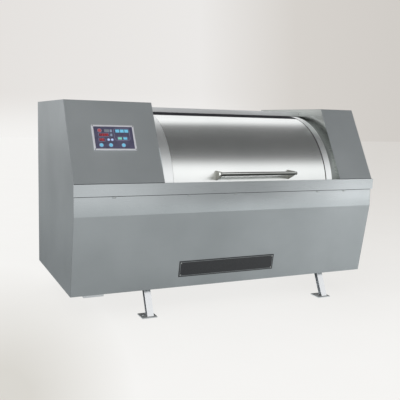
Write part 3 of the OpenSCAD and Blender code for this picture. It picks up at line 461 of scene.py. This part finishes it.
def spun(name, r0, r1, z0, z1, edge, steps=32):
    """Rectangle with rounded corners from r0 to r1 and z0 to z1, spun round Z."""
    deselect_all()
    bpy.ops.mesh.primitive_plane_add(size=1, location=((r0 + r1) / 2, 0, (z0 + z1) / 2),
                                     rotation=(math.radians(90), 0, 0))
    piece = bpy.context.object
    piece.name = name
    piece.scale = (r1 - r0, z1 - z0, 1)
    settle(piece)
    bpy.ops.object.mode_set(mode="EDIT")
    bpy.ops.mesh.select_all(action="SELECT")
    bpy.ops.mesh.bevel(offset=edge, segments=2, affect="VERTICES")
    bpy.ops.mesh.select_all(action="SELECT")
    bpy.ops.mesh.delete(type="ONLY_FACE")
    bpy.ops.mesh.select_all(action="SELECT")
    bpy.ops.mesh.spin(steps=steps, angle=math.radians(360), center=(0, 0, 0), axis=(0, 0, 1))
    bpy.ops.mesh.select_all(action="SELECT")
    bpy.ops.mesh.remove_doubles(threshold=0.00001)
    close_edit()
    bpy.ops.object.shade_smooth_by_angle(angle=SMOOTH_ANGLE)
    return piece


def rim(name, low, high, line, height, corner):
    """Thin raised outline of a rounded rectangle, standing on the plane of its low corner."""
    deselect_all()
    low, high = Vector(low), Vector(high)
    bpy.ops.mesh.primitive_plane_add(size=1, location=(low + high) / 2)
    piece = bpy.context.object
    piece.name = name
    piece.scale = (high.x - low.x, high.y - low.y, 1)
    settle(piece)
    bpy.ops.object.mode_set(mode="EDIT")
    bpy.ops.mesh.select_all(action="SELECT")
    bpy.ops.mesh.bevel(offset=corner, segments=4, affect="VERTICES")
    bpy.ops.mesh.select_all(action="SELECT")
    bpy.ops.mesh.inset(thickness=line, depth=0)
    bpy.ops.mesh.delete(type="FACE")
    bpy.ops.mesh.select_all(action="SELECT")
    bpy.ops.mesh.extrude_region_move(TRANSFORM_OT_translate={"value": (0, 0, height)})
    close_edit()
    return piece


def join(name, parts):
    """Joins parts into one piece."""
    deselect_all()
    for part in parts:
        part.select_set(True)
    bpy.context.view_layer.objects.active = parts[0]
    if len(parts) > 1:
        bpy.ops.object.join()
    parts[0].name = name
    return parts[0]


def repeat(name, master, places):
    """One piece made of a copy of the master in each frame; the master goes."""
    twins = []
    for place in places:
        twin = master.copy()
        twin.data = master.data.copy()
        bpy.context.scene.collection.objects.link(twin)
        twin.matrix_world = place @ master.matrix_world
        twins.append(twin)
    bpy.data.objects.remove(master)
    return settle(join(name, twins))


def pan_screw(radius, height):
    """Pan head screw with a sunk recess, standing on the plane Z = 0."""
    crown, ring, slope, depth = height * 0.45, radius * 0.25, radius * 0.02, height * 0.4
    deselect_all()
    bpy.ops.mesh.primitive_cylinder_add(vertices=12, radius=radius, depth=height, location=(0, 0, height / 2))
    piece = bpy.context.object
    settle(piece)
    pick_faces(piece, lambda centre, normal: normal.z > 0.9)
    bpy.ops.mesh.bevel(offset=crown, segments=2, affect="EDGES")
    bpy.ops.object.mode_set(mode="OBJECT")
    pick_faces(piece, lambda centre, normal: normal.z > 0.9 and centre.z > height * 0.99)
    bpy.ops.mesh.inset(thickness=ring, depth=0)
    bpy.ops.mesh.inset(thickness=slope, depth=-depth)
    close_edit()
    bpy.ops.object.shade_smooth_by_angle(angle=SMOOTH_ANGLE)
    return piece


def hex_bolt(radius, height):
    """Hexagon head with chamfered corners on a washer, standing on the plane Z = 0."""
    washer_r, washer_t, chamfer = radius * 1.25, height * 0.25, height * 0.1
    washer = spun("washer", 0.0, washer_r, 0, washer_t, chamfer / 2, 18)
    deselect_all()
    bpy.ops.mesh.primitive_cylinder_add(vertices=6, radius=radius, depth=height * 0.8,
                                        location=(0, 0, height * 0.6))
    head = bpy.context.object
    settle(head)
    round_edges(head, chamfer, 1)
    return join("bolt", [head, washer])


def folded_copy(node, width, segments=2, angle=25):
    """Copy of a CAD node with its folds and edges rounded by the width."""
    source = bpy.data.objects[node]
    piece = source.copy()
    piece.data = source.data.copy()
    piece.name = node + "_dressed"
    bpy.context.scene.collection.objects.link(piece)
    make_active(piece)
    bpy.ops.object.mode_set(mode="EDIT")
    bpy.ops.mesh.select_all(action="SELECT")
    bpy.ops.mesh.remove_doubles(threshold=0.00002)
    bpy.ops.mesh.dissolve_limited(angle_limit=math.radians(0.4))
    bpy.ops.object.mode_set(mode="OBJECT")
    return round_edges(piece, width, segments, angle)


def put(piece, finish, body="cabinet", node=None):
    """Gives a piece its finish and the body that it moves with, and the node it stands for."""
    give(piece, finish)
    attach(piece, body)
    if node:
        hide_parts(node)
    return piece


def second_finish(piece, finish, test):
    """Another finish on the faces that pass a test of their centre and normal."""
    piece.data.materials.append(FINISHES[finish])
    for face in piece.data.polygons:
        if test(face.center, face.normal):
            face.material_index = 1


def at(frame_matrix, x, y, z=0.0):
    """Frame moved within itself."""
    return frame_matrix @ Matrix.Translation((x, y, z))


def facing(turn, x, y, z):
    """Frame turned to a side of the cabinet, at a place in the part's coordinates."""
    return Matrix.Translation((x, y, z)) @ turn


# Pieces

def dress_sheets():
    """Cabinet sheets, trim, legs, panel and latches with rounded folds and edges."""
    for nodes, width, finish, slot in (
            ("left_end_panel right_end_panel", 0.0008, "side", "satin_steel"),
            ("front_band", 0.0008, "trim", "bright_steel"),
            ("left_hood right_hood", 0.0009, "satin", "satin_steel"),
            ("rear_panels", 0.0008, "satin", "satin_steel"),
            (NODE_FINISH["leg"], 0.0015, "leg", "bright_steel"),
            ("control_frame", 0.0014, "aluminium", "bright_steel"),
            ("control_face", 0.0003, "film", "panel_film")):
        for node in nodes.split():
            put(folded_copy(node, width), finish, node=node)
    for side in ("left", "right"):
        node = "drum_latch_" + side
        put(folded_copy(node, 0.001), "bar", "latch_" + side, node)


def move_vertices(piece, test, value):
    """Moves the vertices that pass a test of their place."""
    make_active(piece)
    mesh = piece.data
    mesh.polygons.foreach_set("select", [False] * len(mesh.polygons))
    mesh.edges.foreach_set("select", [False] * len(mesh.edges))
    for vertex in mesh.vertices:
        vertex.select = test(vertex.co)
    bpy.ops.object.mode_set(mode="EDIT")
    bpy.ops.mesh.select_mode(type="VERT")
    bpy.ops.transform.translate(value=value)
    close_edit()


def dress_cover():
    """Centre cover, whose front lip is set a little low, and the seal under it."""
    cover = folded_copy("centre_top_cover", 0.0008)
    move_vertices(cover, lambda place: place.y < COVER_Y + 0.03, (0, 0, -LIP_DROP))
    put(cover, "cover", node="centre_top_cover")
    seal = folded_copy("top_seal", 0.0003)
    move_vertices(seal, lambda place: place.z > COVER_Z - 0.002, (0, 0, -LIP_DROP))
    put(seal, "rubber", node="top_seal")


def dress_motor_base():
    """Folded base of the motor, which shows as a narrow light strip under the left corner."""
    base = folded_copy("motor_base", 0.002)
    move_vertices(base, lambda place: place.z < Z_LOW - 0.05, (0, 0, MOTOR_BASE_RISE))
    put(base, "leg", node="motor_base")


def dress_feet():
    """Galvanised tops of the legs' foot plates."""
    for node in NODE_FINISH["leg"].split():
        second_finish(bpy.data.objects[node + "_dressed"], "foot",
                      lambda centre, normal: centre.z < 0.02 and normal.z > 0.5)


def dress_apron():
    """Apron, with its upright strip above the crease polished like the band and lighter with painted light.
    """
    piece = put(folded_copy("front_apron", 0.0008), "satin", node="front_apron")
    second_finish(piece, "trim", lambda centre, normal: centre.z > Z_CREASE + 0.001)


def dress_handle():
    """Handle of the door: a polished bar in a sleeve with painted shade on their lower front, between satin
    brackets.
    """
    piece = put(folded_copy("door_handle", 0.001), "handle", "outer_door", "door_handle")
    # The brackets' dark grey is painted shade
    second_finish(piece, "bracket",
                  lambda centre, normal: math.hypot(centre.y - BAR_Y, centre.z - BAR_Z) > BAR_R + 0.001)
    sleeve = spun("handle_sleeve", BAR_R + 0.0002, SLEEVE_R, SLEEVE_LEFT, SLEEVE_RIGHT, 0.0008)
    settle(sleeve, Matrix.Translation((0, BAR_Y, BAR_Z)) @ Matrix.Rotation(math.radians(90), 4, "Y"))
    put(sleeve, "handle", "outer_door")


def build_plate():
    """Bare plate on the apron: black with a thin grey line inside its edge, held by four screws."""
    x0, x1, s0, s1, thick = -0.454, 0.360, 0.081, 0.208, 0.002
    inset, line_w, edge = 0.008, 0.0034, 0.016
    plate = settle(block("front_plate", (x0, s0, 0), (x1, s1, thick), 0.0007), APRON)
    put(plate, "lacquer")
    line = rim("front_plate_line", (x0 + inset, s0 + inset, thick), (x1 - inset, s1 - inset, thick), line_w,
               0.0003, 0.004)
    put(settle(line, APRON), "etched")
    screws = repeat("front_plate_screws", pan_screw(0.0045, 0.002),
                    [at(APRON, x, s, thick) for x in (x0 + edge, x1 - edge) for s in (s0 + edge, s1 - edge)])
    put(screws, "zinc")


def build_band_clips():
    """Small clips that hold the band's lower edge, each with a screw."""
    places = (-0.976, -0.416, -0.037, 0.708, 0.966)
    thick, screw_drop = 0.0025, 0.009
    clip = block("clip", (-0.013, -0.016, 0), (0.013, 0.001, thick), 0.0008)
    strip_turn = math.atan2(Z_BAND - Z_CREASE, Y_FACE - Y_CREASE)
    strip = Matrix.Rotation(strip_turn, 4, "X")
    clips = repeat("band_clips", clip, [facing(strip, x, Y_FACE, Z_BAND) for x in places])
    put(clips, "satin")
    screws = repeat("band_clip_screws", pan_screw(0.0045, 0.0022),
                    [facing(strip, x, Y_FACE - thick, Z_BAND - screw_drop) for x in places])
    put(screws, "zinc")


def build_shade_strip_and_beads():
    """A black strip of painted shade under the band's whole length, and rubber beads that close the band's
    edge above it along both hoods.
    """
    high, out, end = 0.0036, 0.0026, 0.002
    # Painted shade: a black strip in the shadow under the band
    under = block("band_shade_strip_under", (X_LEFT + end, Y_FACE - out, Z_BAND - high),
                  (X_RIGHT - end, Y_FACE, Z_BAND), 0.001)
    put(under, "rubber")
    parts = []
    for x0, x1 in ((X_LEFT, X_WALL_LEFT), (X_WALL_RIGHT, X_RIGHT)):
        bead = block("bead", (x0 - X_LEFT + end, 0.0004, 0), (x1 - X_LEFT - end, 0.0032, 0.0014), 0.0006)
        parts.append(settle(bead, SLOPE))
    put(join("band_beads_above", parts), "rubber")


# Bars that light up for each digit: a on top, then clockwise to f, and g across the middle
SEGMENTS = {"0": "abcdef", "1": "bc", "2": "abdeg", "3": "abcdg", "4": "bcfg", "5": "acdfg"}


def number(name, text, x, s, cell, height, finish):
    """Plain number of light bars, from its lower left corner."""
    stroke, wide, half = height * 0.13, cell * 0.62, height / 2
    gap = stroke * 0.12
    low, high = FACE_T + 0.0012, FACE_T + 0.0016
    bars = []
    for i, digit in enumerate(text):
        x0 = x + i * cell
        spots = {"a": (0, height - stroke, wide, stroke), "d": (0, 0, wide, stroke),
                 "g": (0, half - stroke / 2, wide, stroke), "f": (0, half, stroke, half),
                 "e": (0, 0, stroke, half), "b": (wide - stroke, half, stroke, half),
                 "c": (wide - stroke, 0, stroke, half)}
        for segment in SEGMENTS[digit]:
            dx, ds, w, h = spots[segment]
            bars.append(block("bar", (x0 + dx + gap, s + ds + gap, low),
                              (x0 + dx + w - gap, s + ds + h - gap, high), gap, 1))
    put(settle(join(name, bars), PANEL), finish)


def build_panel():
    """Windows, numbers, lamps, key collars and printed outlines on the film, and the frame's screws."""
    top, cap_t, frame_gap = PANEL_H, 0.0012, 0.003
    # Windows: left edge, lower edge, width, height
    windows = (("window_program", 0.046, top - 0.087, 0.070, 0.022, "window_red"),
               ("window_minutes", 0.043, top - 0.125, 0.040, 0.022, "window_red"),
               ("window_status", 0.088, top - 0.055, 0.036, 0.022, "window_grey"),
               ("window_load", 0.128, top - 0.055, 0.016, 0.022, "window_grey"),
               ("window_step", 0.127, top - 0.088, 0.017, 0.022, "window_grey"))
    for name, x, s, w, h, finish in windows:
        pane = block(name, (x, s, FACE_T), (x + w, s + h, FACE_T + 0.001), 0.0008, 3)
        put(settle(pane, PANEL), finish, node="panel_displays")
        if finish == "window_red":
            line = rim(name + "_line", (x - frame_gap, s - frame_gap, FACE_T),
                       (x + w + frame_gap, s + h + frame_gap, FACE_T), 0.0018, 0.0004, 0.004)
            put(settle(line, PANEL), "print")
    number("number_program", "1200", 0.0505, top - 0.0835, 0.0165, 0.015, "digit_red")
    number("number_minutes", "45", 0.0480, top - 0.1220, 0.0170, 0.016, "digit_red")
    number("number_load", "3", 0.1312, top - 0.0512, 0.0150, 0.014, "key_pale")
    number("number_step", "2", 0.1308, top - 0.0842, 0.0150, 0.014, "key_pale")
    # Lamps: half width, lower and upper edge under the panel's top
    half, low_row, high_row = 0.014, (0.112, 0.094), (0.057, 0.033)
    lamps = {"key_blue": [(x,) + high_row for x in (0.183, 0.216, 0.249)] + [(0.234,) + low_row],
             "lamp_green": [(0.195,) + low_row]}
    for finish, spots in lamps.items():
        caps = [block("lamp", (x - half, top - low, FACE_T), (x + half, top - high, FACE_T + cap_t), 0.0011,
                      3) for x, low, high in spots]
        put(settle(join("lamps_" + finish.split("_")[1], caps), PANEL), finish)
    # Printed outlines: left, lower, right and upper edge, width of the line, radius of the corners
    outlines = [rim("outline", (x0, top - low, FACE_T), (x1, top - high, FACE_T), line_w, 0.0003, corner)
                for x0, low, x1, high, line_w, corner in ((0.156, 0.121, 0.271, 0.021, 0.0016, 0.020),
                                                          (0.176, 0.117, 0.254, 0.089, 0.0012, 0.008))]
    put(settle(join("film_outlines", outlines), PANEL), "print")
    # Keys: distance from the left, from the bottom, radius, finish
    keys = (("key_stop", 0.054, top - 0.043, 0.013, "key_red"),
            ("key_low_left", 0.055, 0.040, 0.013, "key_blue"),
            ("key_low_middle", 0.123, 0.040, 0.013, "key_blue"),
            ("key_low_right", 0.215, 0.040, 0.013, "key_blue"),
            ("key_small_left", 0.111, 0.082, 0.008, "key_pale"),
            ("key_small_right", 0.137, 0.082, 0.008, "key_pale"))
    collars = []
    for node, x, s, radius, finish in keys:
        put(folded_copy(node, 0.0022, 4), finish, node + "_body", node)
        collar = spun("collar", radius + 0.0006, radius + 0.0028, FACE_T, FACE_T + cap_t, 0.0004)
        collars.append(settle(collar, Matrix.Translation((x, s, 0))))
    put(settle(join("key_collars", collars), PANEL), "print")
    mid = FRAME_W / 2 + 0.001
    corners = [at(PANEL, x, s, FRAME_H) for x in (mid, PANEL_W - mid) for s in (mid, PANEL_H - mid)]
    put(repeat("control_frame_screws", pan_screw(0.0036, 0.0018), corners), "iron")


def build_rear():
    """Screws, louvres and pipe nuts at the back, and the screws of the covers."""
    edge, spacing, rows_up = 0.03, 0.3, 5
    places = []
    for x0, x1, z1 in ((X_LEFT, X_WALL_LEFT, Z_TOP), (X_WALL_LEFT, X_WALL_RIGHT, Z_TOP - RAIL_DROP),
                       (X_WALL_RIGHT, X_RIGHT, Z_TOP)):
        count = max(2, round((x1 - x0) / spacing))
        for i in range(count + 1):
            x = x0 + edge + (x1 - x0 - 2 * edge) * i / count
            places += [(x, Z_LOW + edge), (x, z1 - edge)]
        for j in range(1, rows_up):
            z = Z_LOW + edge + (z1 - Z_LOW - 2 * edge) * j / rows_up
            places += [(x0 + edge, z), (x1 - edge, z)]
    screws = repeat("rear_screws", pan_screw(0.006, 0.003), [facing(BACK, x, Y_BACK, z) for x, z in places])
    put(screws, "zinc")
    # Six screws along the cover's rear edge
    first, step, back = X_WALL_LEFT + 0.06, 0.2815, Y_BACK - 0.04
    screws = repeat("top_screws", pan_screw(0.006, 0.003),
                    [Matrix.Translation((first + step * i, back, Z_TOP - RAIL_DROP)) for i in range(6)])
    put(screws, "zinc")
    # Pressed louvres that cool the motor: a rounded hood over a slit, whose dark strip is painted shade
    lowest, pitch, count = 0.34, 0.035, 9
    rows = [facing(BACK, x, Y_BACK, lowest + pitch * i) for x in (-1.08, -0.80) for i in range(count)]
    hood = block("louvre", (-0.09, -0.006, 0), (0.09, 0.006, 0.007), 0.0055, 3)
    put(repeat("rear_louvres", hood, rows), "satin")
    slit = block("slit", (-0.085, -0.0115, 0), (0.085, -0.0058, 0.0008), 0.0003, 1)
    put(repeat("rear_louvre_painted_shade", slit, rows), "rubber")
    # Hexagon nuts where the water and steam pipes leave the cabinet
    nuts = []
    for x, z in ((X_WALL_RIGHT + 0.120, AXIS_Z + 0.250), (X_WALL_RIGHT + 0.190, AXIS_Z + 0.120)):
        nut = hex_bolt(0.026, 0.018)
        nuts.append(settle(nut, facing(BACK, x, Y_BACK, z)))
    put(join("pipe_nuts", nuts), "brass")


def build_bearing_bolts():
    """Eight bolts in the flange of each bearing housing."""
    head = hex_bolt(0.012, 0.012)
    places = []
    for x, side in ((X_WALL_LEFT - FLANGE_OUT, -1), (X_WALL_RIGHT + FLANGE_OUT, 1)):
        outwards = Matrix.Rotation(math.radians(90 * side), 4, "Y")
        for i in range(8):
            angle = math.radians(22.5 + 45 * i)
            places.append(facing(outwards, x, AXIS_Y + BOLT_CIRCLE_R * math.cos(angle),
                                 AXIS_Z + BOLT_CIRCLE_R * math.sin(angle)))
    put(repeat("bearing_bolts", head, places), "zinc")


# Light, floor and camera

def place_camera():
    """Puts the camera where the photograph was taken from."""
    data = bpy.data.cameras.new("camera")
    camera = bpy.data.objects.new("camera", data)
    bpy.context.scene.collection.objects.link(camera)
    data.sensor_width = SENSOR
    data.lens = CAMERA_LENS
    data.clip_end = 100
    turn = Matrix.Rotation(math.radians(-CAMERA_TURN), 4, "Z")
    tilt = Matrix.Rotation(math.radians(90 - CAMERA_TILT), 4, "X")
    roll = Matrix.Rotation(math.radians(CAMERA_ROLL), 4, "Z")
    camera.matrix_world = Matrix.Translation(CAMERA_AT) @ turn @ tilt @ roll
    bpy.context.scene.camera = camera


def add_area(name, place, target, size, power):
    """Soft lamp that points at the target."""
    data = bpy.data.lights.new(name, "AREA")
    data.shape = "RECTANGLE"
    data.size, data.size_y = size
    data.energy = power
    lamp = bpy.data.objects.new(name, data)
    bpy.context.scene.collection.objects.link(lamp)
    direction = Vector(target) - Vector(place)
    lamp.matrix_world = Matrix.Translation(place) @ direction.to_track_quat("-Z", "Y").to_matrix().to_4x4()


def mix_colours(tree, factor, low, high):
    """Colour between a node's result and a hex colour."""
    blend = add_node(tree, "ShaderNodeMix", {"data_type": "RGBA"}, links={"Factor": factor, "A": low})
    blend.inputs["B"].default_value = linear(high)
    return blend.outputs["Result"]


def build_world():
    """Pale studio all round with a dark ceiling towards the right, and an off-white backdrop with painted
    shade.
    """
    world = bpy.data.worlds.new("studio")
    bpy.context.scene.world = world
    world.use_nodes = True
    tree = world.node_tree
    tree.nodes.clear()
    towards = coords_of(tree, "Generated")
    # The ceiling darkens towards one direction, by the cosine of the angle to it
    darkest = Vector((0.489, -0.104, 0.866))
    near = measure(tree, "DOT_PRODUCT", towards, darkest)
    ceiling = ramp_of(tree, near, (
        (0.60, "#f0f0f0"), (1.0, "#5c5c5c"), (0.74, "#fafafa"), (0.80, "#e8e8e8"), (0.84, "#bababa"),
        (0.865, "#929292"), (0.89, "#767676"), (0.93, "#686868")))
    # A dim doorway in front to the right and a dim part of the ceiling in front, which the band and the left
    # hood show: direction, cosines where it starts and where it is full, light that is left there
    light = 1.2
    for direction, start, end, left in ((Vector((0.440, -0.897, 0.03)), 0.955, 0.992, 0.5),
                                        (Vector((0.065, -0.369, 0.927)), 0.86, 0.97, 0.6)):
        lobe = measure(tree, "DOT_PRODUCT", towards, direction)
        light = calc(tree, "MULTIPLY", span(tree, lobe, start, end, 1.0, left, "SMOOTHSTEP"), light)
    room = add_node(tree, "ShaderNodeBackground", links={"Color": ceiling, "Strength": light})
    # The camera sees a plain backdrop instead, with painted shade: paler in the middle, greyer to the right,
    # hazy low on the left
    x, y = axes_of(tree, coords_of(tree, "Window"))[:2]
    wall = ramp_of(tree, x, ((0.0, "#e5e2df"), (1.0, "#d1cdc8"), (0.5, "#ebe9e7"), (0.74, "#d6d2cd")))
    haze = calc(tree, "MULTIPLY", span(tree, y, 0.78, 0.65, ease="SMOOTHSTEP"),
                span(tree, x, 0.7, 0.45, ease="SMOOTHSTEP"))
    backdrop = add_node(tree, "ShaderNodeBackground", inputs={"Strength": 1.0},
                        links={"Color": mix_colours(tree, haze, wall, "#f4f3f1")})
    path = add_node(tree, "ShaderNodeLightPath").outputs
    seen = add_node(tree, "ShaderNodeMixShader",
                    links={0: path["Is Camera Ray"], 1: room.outputs[0], 2: backdrop.outputs[0]})
    add_node(tree, "ShaderNodeOutputWorld", links={0: seen.outputs[0]})


def build_floor():
    """Pale floor that keeps the machine's shadow, and whose painted reflection in metal is darker close by
    than far off.
    """
    deselect_all()
    bpy.ops.mesh.primitive_plane_add(size=80)
    floor = bpy.context.object
    floor.name = "floor"
    material, tree, shader = new_material("pale_floor")
    tone = colour_between(tree, noise_at(tree, (2, 2, 2)), "#f2f2f0", "#f7f7f5")
    tree.links.new(tone, shader.inputs["Base Color"])
    shader.inputs["Roughness"].default_value = 0.9
    shader.inputs["Specular IOR Level"].default_value = 0.1
    place = coords_of(tree)
    x, y = axes_of(tree, place)[:2]
    # What metal shows of the floor, a painted reflection: pale far off and grey close by with painted shade,
    # brighter to the right, dim behind
    from_back = measure(tree, "DISTANCE", place, (-0.5, 2.0, 0.0))
    shown = ramp_of(tree, span(tree, from_back, 0.0, 12.0), (
        (0.1, "#a0a2a3"), (0.66, "#ffffff"), (0.245, "#c0c3c3"), (0.33, "#d8dbdb"), (0.45, "#e6e8e8")))
    sides = calc(tree, "MULTIPLY", span(tree, x, -1.0, 2.5, 0.95, 1.35), span(tree, y, 3.0, 8.0, 1.0, 0.4))
    # Stripes of light and shade across the far floor, fanned out from the camera's mirror image behind the
    # front sheets, so that each shows as one upright tone along the band
    bearing = calc(tree, "DIVIDE", calc(tree, "ADD", x, -CAMERA_AT.x),
                   calc(tree, "SUBTRACT", 2 * Y_BELLY - CAMERA_AT.y, y))
    stripes = ramp_of(tree, bearing, (
        (0.30, "#ececec"), (0.95, "#888888"), (0.38, "#d3d3d3"), (0.45, "#7a7a7a"), (0.55, "#646464"),
        (0.62, "#707070"), (0.70, "#868686"), (0.78, "#8e8e8e")))
    striped = add_node(tree, "ShaderNodeMix", {"data_type": "FLOAT"}, {"A": 0.8},
                       {"Factor": span(tree, y, -2.5, -5.0, ease="SMOOTHSTEP"), "B": stripes})
    # A patch of window light on the floor, far out in front to the right
    bright = measure(tree, "DISTANCE", place, (5.4, -5.6, 0.0))
    glow = span(tree, bright, 0.5, 2.1, 3.2, 0.0, "SMOOTHSTEP")
    lit = calc(tree, "MULTIPLY_ADD", striped.outputs["Result"], 1.4, glow)
    mirrored = add_node(tree, "ShaderNodeEmission",
                        links={"Color": shown, "Strength": calc(tree, "MULTIPLY", sides, lit)})
    # What the camera sees: a plain pale floor with painted shade in the low left corner and up on the right,
    # mixed with a little of the lit floor for the shadow
    window = coords_of(tree, "Window")
    across, up = axes_of(tree, window)[:2]
    corner = measure(tree, "DISTANCE", window, (0.0, 0.0, 0.0))
    near = ramp_of(tree, corner, ((0.08, "#d8d5ce"), (0.34, "#f9f8f6")))
    painted_shade_upper_right = calc(tree, "MULTIPLY", span(tree, across, 0.6, 0.95, ease="SMOOTHSTEP"),
                span(tree, up, 0.1, 0.72, ease="SMOOTHSTEP"))
    seen = add_node(tree, "ShaderNodeEmission", inputs={"Strength": 1.0},
                    links={"Color": mix_colours(tree, painted_shade_upper_right, near, "#d5d1cc")})
    path = add_node(tree, "ShaderNodeLightPath").outputs
    veil = calc(tree, "MULTIPLY", path["Is Camera Ray"], 0.85)
    camera_mix = add_node(tree, "ShaderNodeMixShader",
                          links={0: veil, 1: shader.outputs[0], 2: seen.outputs[0]})
    glossy_mix = add_node(tree, "ShaderNodeMixShader",
                          links={0: path["Is Glossy Ray"], 1: camera_mix.outputs[0], 2: mirrored.outputs[0]})
    output = next(node for node in tree.nodes if node.type == "OUTPUT_MATERIAL")
    tree.links.new(glossy_mix.outputs[0], output.inputs[0])
    floor.data.materials.append(material)


place_camera()
FINISHES = build_finishes()
finish_nodes()
dress_sheets()
dress_feet()
dress_apron()
dress_cover()
dress_motor_base()
dress_handle()
build_plate()
build_band_clips()
build_shade_strip_and_beads()
build_panel()
build_rear()
build_bearing_bolts()
build_world()
build_floor()
add_area("key_lamp", place=(-3.5, -5.0, 4.5), target=(0, 0, 0.8), size=(3.0, 2.0), power=60)
bpy.context.scene.view_settings.view_transform = "Standard"
